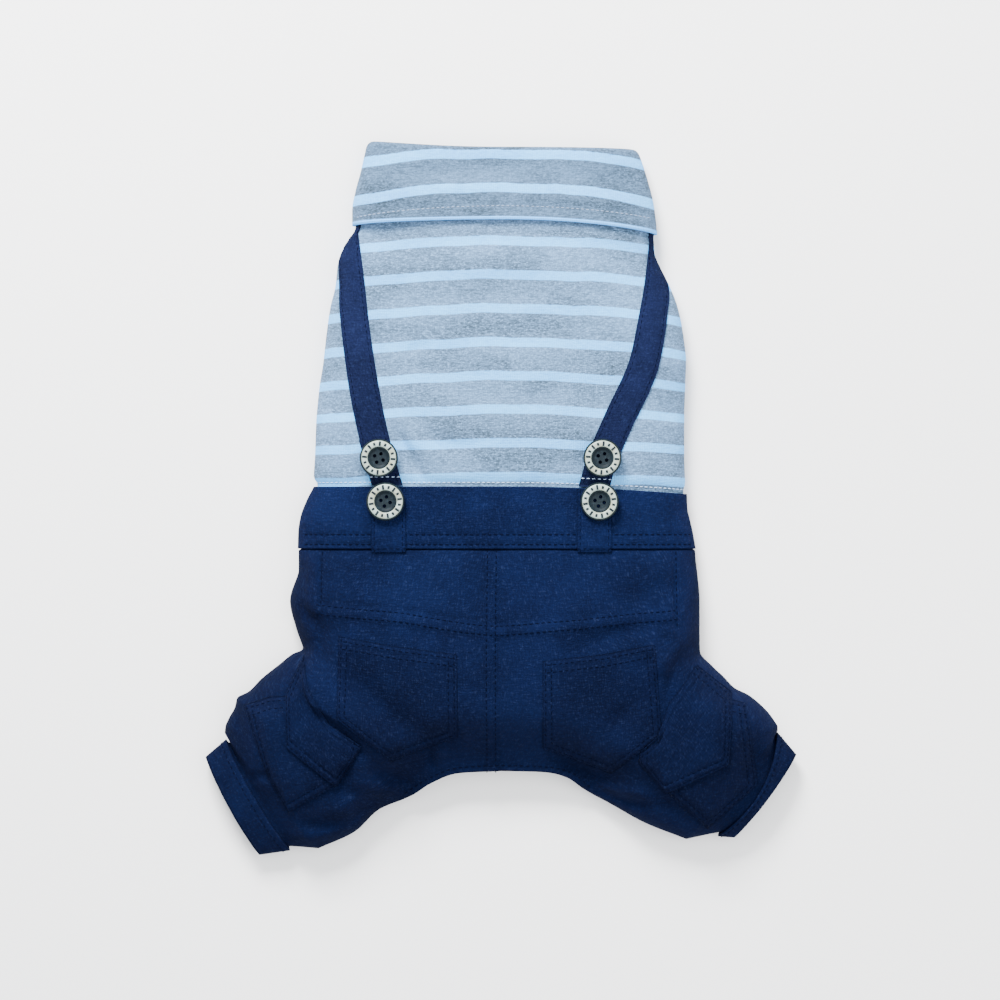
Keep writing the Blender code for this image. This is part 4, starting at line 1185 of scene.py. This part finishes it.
class SUIT_OT_shirt(Step, bpy.types.Operator):
    """Make the striped jersey trunk with its armholes"""

    bl_idname = "suit.shirt"
    bl_label = "Jersey top"

    def build(self, sizes):
        places = [WAISTBAND_DEPTH + step for step in (-SEAM_LAP, 0.0, STEP_OUT)]
        sections = [waistband_section(y, BAND_TUCK) for y in places[:2]]
        sections.append(
            trunk_section(WAISTBAND[0], places[2], WAIST_HALF, WAIST_LOFT, WAISTBAND_DEPTH, BAND_TUCK))
        for row in SHIRT:
            y = WAISTBAND_DEPTH + row.along * SHIRT_LENGTH
            places.append(y)
            sections.append(trunk_section(row, y, SHIRT_HALF, SHIRT_LOFT, SHIRT_LENGTH))
        places.append(collar_edge_y() - STEP_OUT)
        sections.append(
            trunk_section(COLLAR[-1], places[-1], COLLAR_HALF, COLLAR_LOFT, COLLAR_DEPTH, NECK_TUCK))
        neck_top = collar_fold_y() - NECK_SEAM_DROP
        for share in (0.0, 0.5, 1.0):
            y = collar_edge_y() + (neck_top - collar_edge_y()) * share
            places.append(y)
            sections.append(collar_section(y, NECK_TUCK))
        steps = [max(int(round(gap / TRUNK_STEP)), 1) for gap in np.diff(places)]
        upper, lower = loft(sections, steps)
        x, y = upper[..., 0], upper[..., 1]
        scale, origin = (SHIRT_HALF, SHIRT_LENGTH), (0, SEAM_Y + WAISTBAND_DEPTH)
        lift = fold_lift(x, y, SHIRT_FOLDS, scale, origin)
        lift += waves(x, y, SHIRT_WAVES)
        near_hem = y - (SEAM_Y + WAISTBAND_DEPTH)
        pucker = np.sin(x / (4.6 * MM) + 1.5 * ripple(x, y, 20 * MM, 3))
        lift += 0.22 * MM * pucker * bell(near_hem - 3 * MM, 5 * MM)
        free = smooth_step(from_sides(x) / (9 * MM)) * smooth_step((near_hem - 1 * MM) / (3 * MM))
        free *= smooth_step((SEAM_Y + collar_edge_y() - y) / (3 * MM))
        upper[..., 2] += lift * free
        knit = np.concatenate([knit_rows(grid).ravel() for grid in (upper, lower)])
        piece = tube_piece("shirt_body_cloth", upper, lower, sizes.jersey_wall, {"knit": knit})
        cut_armholes(piece)
        STATE["shirt"] = piece
        dress(piece, STATE["jersey"], "shirt_body")
        hem_x = np.linspace(-0.925, 0.92, 120) * WAIST_HALF
        hem_y = edge_at(hem_x, WAISTBAND[0], WAIST_HALF, WAISTBAND_DEPTH + 1.9 * MM, WAISTBAND_DEPTH)
        hem = on_cloth(np.column_stack([hem_x, hem_y]), Ground([piece]))
        stitch_rows("hem_stitches", [hem], STATE["pale_thread"], sizes, "jersey", **FINE_STITCH)


def cut_armholes(piece):
    """Two oval holes in the belly panel for the front legs."""
    cutters = []
    for side in (-1, 1):
        shape = bmesh.new()
        bmesh.ops.create_cone(
            shape, cap_ends=True, segments=64, radius1=1.0, radius2=1.0, depth=SHIRT_LOFT / 2)
        bmesh.ops.scale(shape, vec=(ARMHOLE_HALF_WIDTH, ARMHOLE_HALF_LENGTH, 1.0), verts=shape.verts)
        place = Vector((side * ARMHOLE_X, SEAM_Y + collar_edge_y() - ARMHOLE_DROP, 0))
        bmesh.ops.translate(shape, vec=place, verts=shape.verts)
        cutters.append(shape_piece("armhole", shape))
    cut_away(piece, cutters)


class SUIT_OT_collar(Step, bpy.types.Operator):
    """Make the turned-down jersey collar"""

    bl_idname = "suit.collar"
    bl_label = "Collar"

    def build(self, sizes):
        radius = COLLAR_STACK / 2
        fold_y = collar_fold_y()
        shares = np.linspace(1.0, 0.12, 24)
        sections = [collar_section(fold_y - share * COLLAR_DEPTH, 0) for share in shares]
        rows = [-share * COLLAR_DEPTH for share in shares]
        for turn in np.linspace(0, 1, 9):
            angle = math.pi * turn
            y, inset = fold_y - radius * (1 - math.sin(angle)), radius * (1 - math.cos(angle))
            sections.append(collar_section(y, inset))
            rows.append(-radius + radius * angle)
        for share in np.linspace(0.25, 1.0, 12):
            sections.append(collar_section(fold_y - COLLAR_INSIDE * share, COLLAR_STACK))
            rows.append(COLLAR_INSIDE * share)
        upper, lower = stacked(sections)
        rows = np.array(rows)[:, None]
        x, y = upper[..., 0], upper[..., 1]
        lift = waves(x, y, COLLAR_WAVES)
        across = np.abs(x) / COLLAR_HALF
        lift += bell(rows + COLLAR_DEPTH, 9 * MM) * (0.4 + 0.7 * across**2) * MM
        lift += fold_lift(x, y, COLLAR_FOLDS, (COLLAR_HALF, COLLAR_DEPTH), (0, SEAM_Y + fold_y))
        lift -= 0.5 * MM * bell(rows + COLLAR_DEPTH - 6.5 * MM, 1.6 * MM)
        outer = smooth_step((-rows - 2 * MM) / (6 * MM))
        upper[..., 2] += lift * outer * smooth_step(from_sides(x) / (5 * MM))
        knit, hem = [], []
        for grid in (upper, lower):
            drop = np.where(grid[..., 0] > 0, 2.6 * MM, 4.6 * MM) * (grid[..., 0] / (62 * MM)) ** 2
            knit.append((SEAM_Y + fold_y + rows * np.ones_like(drop) + drop).ravel())
            hem.append(((rows + COLLAR_DEPTH) * np.ones_like(drop)).ravel())
        fields = {"knit": np.concatenate(knit), "edge": np.concatenate(hem)}
        piece = tube_piece("collar_cloth", upper, lower, sizes.jersey_wall, fields)
        dress(piece, STATE["collar_jersey"], "collar")
        ground = Ground([piece])
        edge_y = SEAM_Y + collar_edge_y() + 6.3 * MM
        line_x = np.linspace(-0.93, 0.96, 60) * COLLAR_HALF
        line = on_cloth([(px, edge_y - 5.5 * MM * (px / COLLAR_HALF) ** 2) for px in line_x], ground)
        stitch_rows("collar_stitches", [line], STATE["soft_thread"], sizes, "jersey", **FINE_STITCH)


class SUIT_OT_waistband(Step, bpy.types.Operator):
    """Make the twill waistband and its stitched edge"""

    bl_idname = "suit.waistband"
    bl_label = "Waistband"

    def build(self, sizes):
        places = np.linspace(0, WAISTBAND_DEPTH, 48)
        sections = [waistband_section(y, 0) for y in places]
        upper, lower = stacked(sections)
        x, y = upper[..., 0], upper[..., 1]
        low = (y - SEAM_Y) / WAISTBAND_DEPTH
        lift = waves(x, y, BAND_WAVES)
        lift += 0.6 * MM * np.sin(np.pi * np.clip(low, 0, 1))
        for rise in BAND_ROWS:
            beat = 0.6 + 0.4 * np.cos(2 * np.pi * x / (2 * sizes.stitch_pitch))
            lift -= 0.40 * MM * beat * bell(y - SEAM_Y - rise, 0.9 * MM)
        upper[..., 2] += lift * smooth_step(from_sides(x) / (7 * MM))
        piece = tube_piece("waistband_cloth", upper, lower, sizes.twill_wall)
        STATE["waistband"] = piece
        dress(piece, STATE["band"], "waistband")
        ground, row_x = Ground([piece]), np.linspace(-0.98, 0.95, 80) * WAIST_HALF
        rows = [on_cloth([(px, SEAM_Y + rise) for px in row_x], ground) for rise in BAND_ROWS]
        stitch_rows("waistband_stitches", rows, STATE["thread"], sizes, "twill")


def fan_ends(side, fan):
    """Outer and inner end, in plan, of each section of a trouser half."""
    ends = []
    for row, left in zip(fan, LEFT_FAN):
        out = side * (WAIST_HALF + (LEG_REACH - WAIST_HALF) * row.out)
        drop = left.inner_drop if len(ends) <= FORK_ROW else row.inner_drop
        inner = side * row.inner * LEG_REACH
        ends.append(((out, SEAM_Y - row.out_drop * RISE), (inner, SEAM_Y - drop * RISE)))
    return np.array(ends)


def fan_row(out, inner, number):
    """Plan points of a section, closer together towards its closed ends."""
    closed = smooth_step((number - FORK_ROW) / (INSEAM_ROW - FORK_ROW))
    t = np.arange(LEG_ACROSS + 1) / LEG_ACROSS
    one_end = 1 - np.cos(np.pi * t / 2)
    two_ends = (1 - np.cos(np.pi * t)) / 2
    return out + np.outer(one_end + (two_ends - one_end) * closed, inner - out)


def closed_ends(side, leg):
    """A trouser half's sections under the waistband, and those under the leg's band."""
    waist = [waistband_section(SEAM_LAP, BAND_TUCK), waistband_section(0, BAND_TUCK)]
    waist.append(trunk_section(
        WAISTBAND[-1], -WAIST_STEP, WAIST_HALF, WAIST_LOFT, WAISTBAND_DEPTH, WAIST_INSET))
    half = slice(LEG_ACROSS + 1) if side < 0 else slice(None, LEG_ACROSS - 1, -1)
    shares = (-STEP_OUT / CUFF_DEPTH, 0.0, SEAM_LAP / CUFF_DEPTH)
    ends = [leg_section(leg, share, BAND_TUCK + LEG_CLEARANCE) for share in shares]
    return [(upper[half], lower[half]) for upper, lower in waist], ends


def smooth_plan(rows, steps, corner):
    """Fine plan rows; the inner ends turn a corner at one row and are smoothed apart there."""
    rows = np.array(rows)
    parts = []
    for first, last in ((0, corner), (corner, len(rows) - 1)):
        at = fine_stations(steps[first:last], first)
        parts.append(smooth_rows(rows[first : last + 1], np.arange(first, last + 1), at))
    at = fine_stations(steps)
    whole = smooth_rows(rows, np.arange(len(rows)), at)
    split = np.concatenate([parts[0][:-1], parts[1]])
    weight = smooth_step(np.linspace(0, 1, rows.shape[1]) * 3 - 1.5)[None, :, None]
    return whole * (1 - weight) + split * weight, at


class SUIT_OT_trousers(Step, bpy.types.Operator):
    """Make the trousers, their folds and their seams"""

    bl_idname = "suit.trousers"
    bl_label = "Trousers"

    def build(self, sizes):
        halves, seams, hems = [], [], []
        for side, name, fan in ((-1, "left", LEFT_FAN), (1, "right", RIGHT_FAN)):
            rows = [fan_row(*ends, number) for number, ends in enumerate(fan_ends(side, fan))]
            fine, at = smooth_plan(rows, FAN_STEPS, FORK_ROW)
            tops = np.array([row.top * SEAT_LOFT for row in fan])
            top = smooth_rows(tops, np.arange(len(tops)), at)
            halves.append((side, fine, top, *closed_ends(side, LEG_ENDS[name])))
            seams += [fine[:, 0], fine[at >= INSEAM_ROW, -1]]
            hems.append(fine[(at >= FORK_ROW) & (at <= INSEAM_ROW), -1])
        points, faces, uv = [], [], []
        for side, fine, top, waist, ends in halves:
            x, y = fine[..., 0], fine[..., 1]
            edge = np.min([path_distance(x, y, seam)[0] for seam in seams], axis=0)
            hem = np.min([path_distance(x, y, line)[0] for line in hems], axis=0)
            loft_top = top[:, None] * (1 - HEM_OPEN * (1 - smooth_step(hem / HEM_FADE)))
            lift = fold_lift(x, y, SEAT_FOLDS, (LEG_REACH, RISE), (0, SEAM_Y))
            lift += waves(x, y, SEAT_WAVES)
            lift += seam_relief(x, y)
            free = smooth_step(edge / (6 * MM))
            high = SIDE_RIM + (loft_top - SIDE_RIM) * round_turn(edge / LEG_SHOULDER) + lift * free
            low = SIDE_RIM * (1 - round_turn(edge / UNDER_TURN))
            upper, lower = np.dstack([fine, high]), np.dstack([fine, low])
            waist_grids = loft([*waist, (upper[0], lower[0])], WAIST_STEPS)
            end_grids = loft([(upper[-1], lower[-1]), *ends], END_STEPS)
            upper, lower = (
                np.concatenate([first[:-1], middle[:-1], last])
                for first, middle, last in zip(waist_grids, (upper, lower), end_grids))
            for grid, turned in ((upper, side > 0), (lower, side < 0)):
                start = sum(len(block) for block in points)
                faces.append(grid_faces(*grid.shape[:2], start, turned))
                points.append(grid.reshape(-1, 3))
                unrolled = grid[..., :2] + grid[..., 2:] * (-side, 1)
                uv.append(unrolled.reshape(-1, 2))
        mesh = mesh_of("trousers_cloth", np.concatenate(points), np.concatenate(faces), np.concatenate(uv))
        weld(mesh)
        piece = add_piece("trousers_cloth", mesh)
        add_wall(piece, sizes.twill_wall)
        STATE["trousers"] = piece
        dress(piece, STATE["twill"], "trousers")
        self.stitch(sizes, piece)

    def stitch(self, sizes, piece):
        ground = Ground([piece])
        rows = []
        for name, path in SEAMS.items():
            line = fine_path(plan(path), 40)
            double = name in DOUBLE_SEAMS
            for away in DOUBLE_SEAM_ROWS if double else SINGLE_SEAM_ROWS:
                rows.append(on_cloth(offset_path(line, -away if double else away), ground))
        hem = []
        for side, fan in ((-1, LEFT_FAN), (1, RIGHT_FAN)):
            ends = [(side * row.inner, -row.inner_drop) for row in fan[FORK_ROW : INSEAM_ROW + 1]]
            hem += ends[::-1] if side < 0 else ends[1:]
        rows.append(on_cloth(offset_path(fine_path(plan(hem), 60), HEM_ROW), ground))
        rows = [row for row in rows if len(row) > 2]
        stitch_rows("trousers_stitches", rows, STATE["thread"], sizes, "twill")


def seam_relief(x, y):
    """The raised allowance beside each seam on the seat, and the nick at the seam itself."""
    relief = np.zeros(np.shape(x))
    for path in SEAMS.values():
        away, side, _ = path_distance(x, y, plan(path))
        beside = -away * side
        raised = smooth_step((beside + 0.4 * MM) / (1.0 * MM))
        raised *= 1 - smooth_step((beside - 5.5 * MM) / (1.5 * MM))
        pucker = 0.30 * MM * ripple(x, y, 4 * MM, 41) * bell(away, 7 * MM)
        relief += 0.75 * MM * raised - 0.8 * MM * bell(away, 1.1 * MM) + pucker
    return relief


class SUIT_OT_cuffs(Step, bpy.types.Operator):
    """Make the bands at the ends of the legs"""

    bl_idname = "suit.cuffs"
    bl_label = "Leg bands"

    def build(self, sizes):
        rows = []
        for name, leg in LEG_ENDS.items():
            sections = [leg_section(leg, share, 0) for share in np.linspace(0, 1, 10)]
            upper, lower = stacked(sections)
            x, y = upper[..., 0], upper[..., 1]
            edge = np.minimum(*(np.hypot(x - x[:, [end]], y - y[:, [end]]) for end in (0, -1)))
            upper[..., 2] += 0.45 * MM * ripple(x, y, 9 * MM, 21) * smooth_step(edge / (5 * MM))
            if leg.side > 0:
                upper, lower = upper[:, ::-1], lower[:, ::-1]
            piece = tube_piece(f"cuff_{name}_cloth", upper[::-1], lower[::-1], sizes.twill_wall)
            dress(piece, STATE["twill"], "cuff_" + name)
            rows.append(on_cloth(upper[2, 2:-2, :2], Ground([piece])))
        stitch_rows("cuff_stitches", rows, STATE["thread"], sizes, "twill")


def edge_at(x, table, half, y, length):
    """Where an edge row with dipping ends crosses a lengthwise line."""
    left, right = table.left * half, table.right * half
    across = (x - (right - left) / 2) / ((left + right) / 2)
    dip = np.where(across > 0, table.dip_right, table.dip_left)
    return SEAM_Y + y - dip * length * np.minimum(across**2, 1.0)


def strap_middle(side, shares):
    """The middle of a strap at shares of its length, in metres from the centre line."""
    stations, middles = zip(*STRAP_LINE[side])
    return smooth_rows(np.array(middles)[:, None], stations, shares)[:, 0] * SHIRT_HALF


def strap_grid(side, ground, rows=96, columns=16):
    """Plan points of a strap that keeps its width as it turns down the shirt's side."""
    towards = -1 if side == "left" else 1
    grid, inside = [], []
    for share in np.linspace(0, 1, rows + 1):
        before, after = max(share - 0.05, 0), min(share + 0.05, 1)
        near, middle, far = strap_middle(side, [before, share, after])
        width = STRAP_WIDTH * math.hypot(1, (far - near) / (SHIRT_LENGTH * (after - before)))
        start = abs(middle) - width / 2
        x = towards * (start - 3 * MM + np.arange(0, width + 3 * MM, 0.3 * MM))
        low = edge_at(x, WAISTBAND[0], WAIST_HALF, WAISTBAND_DEPTH + END_GAP, WAISTBAND_DEPTH)
        high = edge_at(x, COLLAR[-1], COLLAR_HALF, collar_edge_y() + STRAP_LAP, COLLAR_DEPTH)
        y = low + (high - low) * share
        z = np.array([ground.at(*point) for point in zip(x, y)])
        count = max(int((z > 0).sum()), 12)
        first = min(10, count - 9)
        x, y, z = x[first:count], y[first:count], z[first:count]
        arc = np.concatenate([[0], np.cumsum(np.hypot(np.diff(x), np.diff(z)))])
        places = np.linspace(0, 1, columns + 1) * min(width, arc[-1])
        grid.append(np.column_stack([np.interp(places, arc, x), np.interp(places, arc, y)]))
        inside.append(np.minimum(places, places[-1] - places))
    return np.array(grid), np.array(inside)


class SUIT_OT_straps(Step, bpy.types.Operator):
    """Make the two suspenders, from collar to waistband"""

    bl_idname = "suit.straps"
    bl_label = "Suspenders"

    def build(self, sizes):
        ground = Ground([STATE["shirt"]])
        rows, bars = [], []
        for side in ("left", "right"):
            points, inside = strap_grid(side, ground)
            name = f"strap_{side}_cloth"
            piece, upper = patch_piece(name, points, inside, sizes.strap_wall, ground, 0, 4, [1.6 * MM])
            dress(piece, STATE["tape"], "strap_" + side)
            rows += [upper[2:-2, column] + THREAD_LIFT for column in (2, -3)]
            bars.append(upper[3, 1:-1] + THREAD_LIFT)
        stitch_rows("strap_bars", bars, STATE["pale_thread"], sizes, "trim", **FINE_STITCH)
        stitch_rows("strap_stitches", rows, STATE["thread"], sizes, "trim", width=TRIM_THREAD)


class SUIT_OT_tabs(Step, bpy.types.Operator):
    """Make the belt-loop tabs on the waistband"""

    bl_idname = "suit.tabs"
    bl_label = "Tabs"

    def build(self, sizes):
        ground = Ground([STATE["waistband"], STATE["trousers"]])
        rows = []
        for side in ("left", "right"):
            x = TAB_X[side] * WAIST_HALF + np.array([-0.5, 0.5]) * TAB_WIDTH
            high = edge_at(x, WAISTBAND[0], WAIST_HALF, WAISTBAND_DEPTH - END_GAP, WAISTBAND_DEPTH)
            low = np.full(2, SEAM_Y - TAB_TAIL)
            quad = Quad(np.column_stack([x, high]), np.column_stack([x, low]))
            points, inside = quad.grid(36, 22)
            name = f"tab_{side}_cloth"
            piece, upper = patch_piece(name, points, inside, TAB_WALL, ground, 0, 14, BORDER_ROWS[:1])
            dress(piece, STATE["band"], "tab_" + side)
            rows += [upper[1:-1, column] + THREAD_LIFT for column in (2, -3)]
            rows.append(upper[-3, 1:-1] + THREAD_LIFT)
        stitch_rows("tab_stitches", rows, STATE["thread"], sizes, "trim", width=TRIM_THREAD)


class SUIT_OT_pockets(Step, bpy.types.Operator):
    """Make the patch pockets, the cargo pockets and their flaps"""

    bl_idname = "suit.pockets"
    bl_label = "Pockets and flaps"

    def build(self, sizes):
        rows = []
        for side in ("left", "right"):
            under = [STATE["trousers"]]
            for kind, crown in PATCH_KINDS:
                ground = Ground(under)
                name = kind + side
                quad = Quad(plan(PATCHES[name].upper), plan(PATCHES[name].lower))
                points, inside = quad.grid(52, 52)
                points = ground.kept_on(points)
                piece, _ = patch_piece(
                    name + "_cloth", points, inside, sizes.patch_wall, ground, crown, 6, BORDER_ROWS)
                dress(piece, STATE["pocket"], name)
                area = patch_area(points)
                width = float(np.linalg.norm(points[-1, -1] - points[-1, 0]))
                under.append(piece)
                sewn = Ground([piece])
                for distance in BORDER_ROWS:
                    rows.append(on_cloth(quad.border(distance), sewn, 0.05 * MM))
                for distance in TOP_ROWS if kind != "cargo_flap_" else ():
                    rows.append(on_cloth(quad.top_row(distance), sewn, 0.05 * MM))
        stitch_rows("pocket_stitches", rows, STATE["thread"], sizes, "twill")


def patch_area(points):
    """Plan area of a grid of points."""
    a, b = points[1:, 1:] - points[:-1, :-1], points[1:, :-1] - points[:-1, 1:]
    return float(np.abs(a[..., 0] * b[..., 1] - a[..., 1] * b[..., 0]).sum() / 2)


BUTTON_PROFILE = [
    (0.0, 0.56), (0.36, 0.56), (0.43, 0.60), (0.50, 0.76), (0.535, 0.84), (0.565, 0.82), (0.575, 0.72),
    (0.92, 0.72), (0.925, 0.90), (0.94, 0.95), (0.965, 0.94), (0.985, 0.86), (1.0, 0.66), (0.995, 0.42),
    (0.95, 0.22), (0.86, 0.08), (0.76, 0.0), (0.0, 0.0),
]
RING_PROFILE = [
    (0.0, 0.0), (0.0, 0.55), (0.06, 0.85), (0.16, 1.0), (0.84, 1.0), (0.94, 0.85), (1.0, 0.55), (1.0, 0.0),
]


def turned_piece(name, profile):
    """A turned solid from radius and height points, the outer side listed downwards."""
    closed = profile[0][0] > 0
    mesh = bpy.data.meshes.new(name)
    count = len(profile)
    edges = [(i, (i + 1) % count) for i in range(count if closed else count - 1)]
    mesh.from_pydata([(r, 0, z) for r, z in profile], edges, [])
    piece = add_piece(name, mesh)
    lathe = piece.modifiers.new("lathe", "SCREW")
    lathe.steps = lathe.render_steps = 72
    lathe.use_merge_vertices = True
    lathe.merge_threshold = 0.001 * MM
    apply_modifiers(piece)
    return piece


class SUIT_OT_buttons(Step, bpy.types.Operator):
    """Make the four ringed buttons"""

    bl_idname = "suit.buttons"
    bl_label = "Buttons"

    def build(self, sizes):
        for side in ("left", "right"):
            self.make("button_strap_" + side, STRAP_BUTTON_TURN)
            self.make("button_waist_" + side, WAIST_BUTTON_TURN)

    def make(self, name, turn):
        low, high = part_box(name)
        middle = Vector(((low[0] + high[0]) / 2, (low[1] + high[1]) / 2, low[2]))
        place = Matrix.Translation(middle) @ Matrix.Rotation(math.radians(turn), 4, "Z")
        profile = [(r * BUTTON_RADIUS, z * BUTTON_THICK) for r, z in BUTTON_PROFILE]
        body = turned_piece(name + "_shell", profile)
        shape = bmesh.new()
        for quarter in range(4):
            angle = math.radians(45 + 90 * quarter)
            made = bmesh.ops.create_cone(
                shape, cap_ends=True, segments=24, radius1=HOLE_RADIUS, radius2=HOLE_RADIUS, depth=12 * MM)
            spot = Vector((math.cos(angle), math.sin(angle), 0)) * HOLE_SPREAD_MM * MM
            bmesh.ops.translate(shape, vec=spot, verts=made["verts"])
        cut_away(body, [shape_piece("holes", shape)])
        inner, outer = RING_INNER * BUTTON_RADIUS, RING_OUTER * BUTTON_RADIUS
        base, rise = RING_BASE * BUTTON_THICK, RING_RISE * BUTTON_THICK
        profile = [(inner + share * (outer - inner), base + z * rise) for share, z in RING_PROFILE]
        ring = turned_piece(name + "_ring_metal", profile)
        for turned in (body, ring):
            turned.data.set_sharp_from_angle(angle=SHARP)
        ticks = self.ticks(name, (inner + outer) / 2, base + rise)
        for piece in (body, ring, ticks):
            piece.data.transform(place)
            piece.data.update()
        dress(body, STATE["shell"], name)
        dress(ring, STATE["ring"], name + "_ring")
        ticks.data.materials.append(STATE["tick"])
        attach(ticks, BODY)

    def ticks(self, name, radius, top):
        """Plain dark ticks round the ring, long and short by turns."""
        shape = bmesh.new()
        for number in range(TICKS):
            size = (TICK_LENGTHS[number % 2], TICK_WIDTH, TICK_RISE)
            made = bmesh.ops.create_cube(shape, size=1.0)
            bmesh.ops.scale(shape, vec=size, verts=made["verts"])
            turn = Matrix.Rotation(2 * math.pi * number / TICKS, 4, "Z")
            spot = turn @ Matrix.Translation((radius, 0, top))
            bmesh.ops.transform(shape, matrix=spot, verts=made["verts"])
        return shape_piece(name + "_ticks", shape)


class SUIT_OT_stage(Step, bpy.types.Operator):
    """Set the floor, lights and camera"""

    bl_idname = "suit.stage"
    bl_label = "Stage"

    def build(self, sizes):
        corners = [(-4, -4, 0), (4, -4, 0), (4, 4, 0), (-4, 4, 0)]
        floor = add_piece("floor", mesh_of("floor", corners, [(0, 1, 2, 3)]))
        paper = Finish("paper", Roughness=0.9)
        tone = paper.grain(paper.place(), 3.0)
        paper.set("Base Color", paper.mix(tone, (0.90, 0.90, 0.90), (0.93, 0.93, 0.93)))
        floor.data.materials.append(paper.material)
        for lamp in LAMPS:
            self.lamp(*lamp)
        scene = bpy.context.scene
        world = scene.world = bpy.data.worlds.new("studio")
        world.use_nodes = True
        sky = world.node_tree.nodes["Background"]
        sky.inputs["Color"].default_value = (0.92, 0.95, 1.0, 1.0)
        sky.inputs["Strength"].default_value = 1.2
        lens = bpy.data.cameras.new("camera")
        camera = bpy.data.objects.new("camera", lens)
        scene.collection.objects.link(camera)
        camera.location = CAMERA_PLACE
        lens.sensor_width = SENSOR
        lens.lens = SENSOR * (CAMERA_HEIGHT - FRAMED_HEIGHT) / VIEW_WIDTH
        scene.camera = camera

    def lamp(self, name, place, size, power):
        light = bpy.data.lights.new(name, "AREA")
        light.size, light.energy = size, power
        lamp = bpy.data.objects.new(name, light)
        bpy.context.scene.collection.objects.link(lamp)
        lamp.location = place
        lamp.rotation_euler = Vector(place).to_track_quat("Z", "Y").to_euler()


class SUIT_PT_panel(bpy.types.Panel):
    """Lists the suit's pieces in the sidebar"""

    bl_label = "Dog suspender suit"
    bl_idname = "SUIT_PT_panel"
    bl_space_type = "VIEW_3D"
    bl_region_type = "UI"
    bl_category = "Suit"

    def draw(self, context):
        for group in (context.scene.suit_sizes, context.scene.suit_colours):
            for name in group.__annotations__:
                self.layout.prop(group, name)
        for step in STEPS:
            self.layout.operator(step.bl_idname)


STEPS = (
    SUIT_OT_finishes, SUIT_OT_shirt, SUIT_OT_trousers, SUIT_OT_waistband, SUIT_OT_collar, SUIT_OT_cuffs,
    SUIT_OT_straps, SUIT_OT_tabs, SUIT_OT_pockets, SUIT_OT_buttons, SUIT_OT_stage,
)
CLASSES = (SuitSizes, SuitColours, *STEPS, SUIT_PT_panel)


def register():
    for made in CLASSES:
        bpy.utils.register_class(made)
    bpy.types.Scene.suit_sizes = bpy.props.PointerProperty(type=SuitSizes)
    bpy.types.Scene.suit_colours = bpy.props.PointerProperty(type=SuitColours)


def unregister():
    del bpy.types.Scene.suit_colours
    del bpy.types.Scene.suit_sizes
    for made in reversed(CLASSES):
        bpy.utils.unregister_class(made)


def main():
    register()
    for step in STEPS:
        group, name = step.bl_idname.split(".")
        getattr(getattr(bpy.ops, group), name)()


if __name__ == "__main__":
    main()
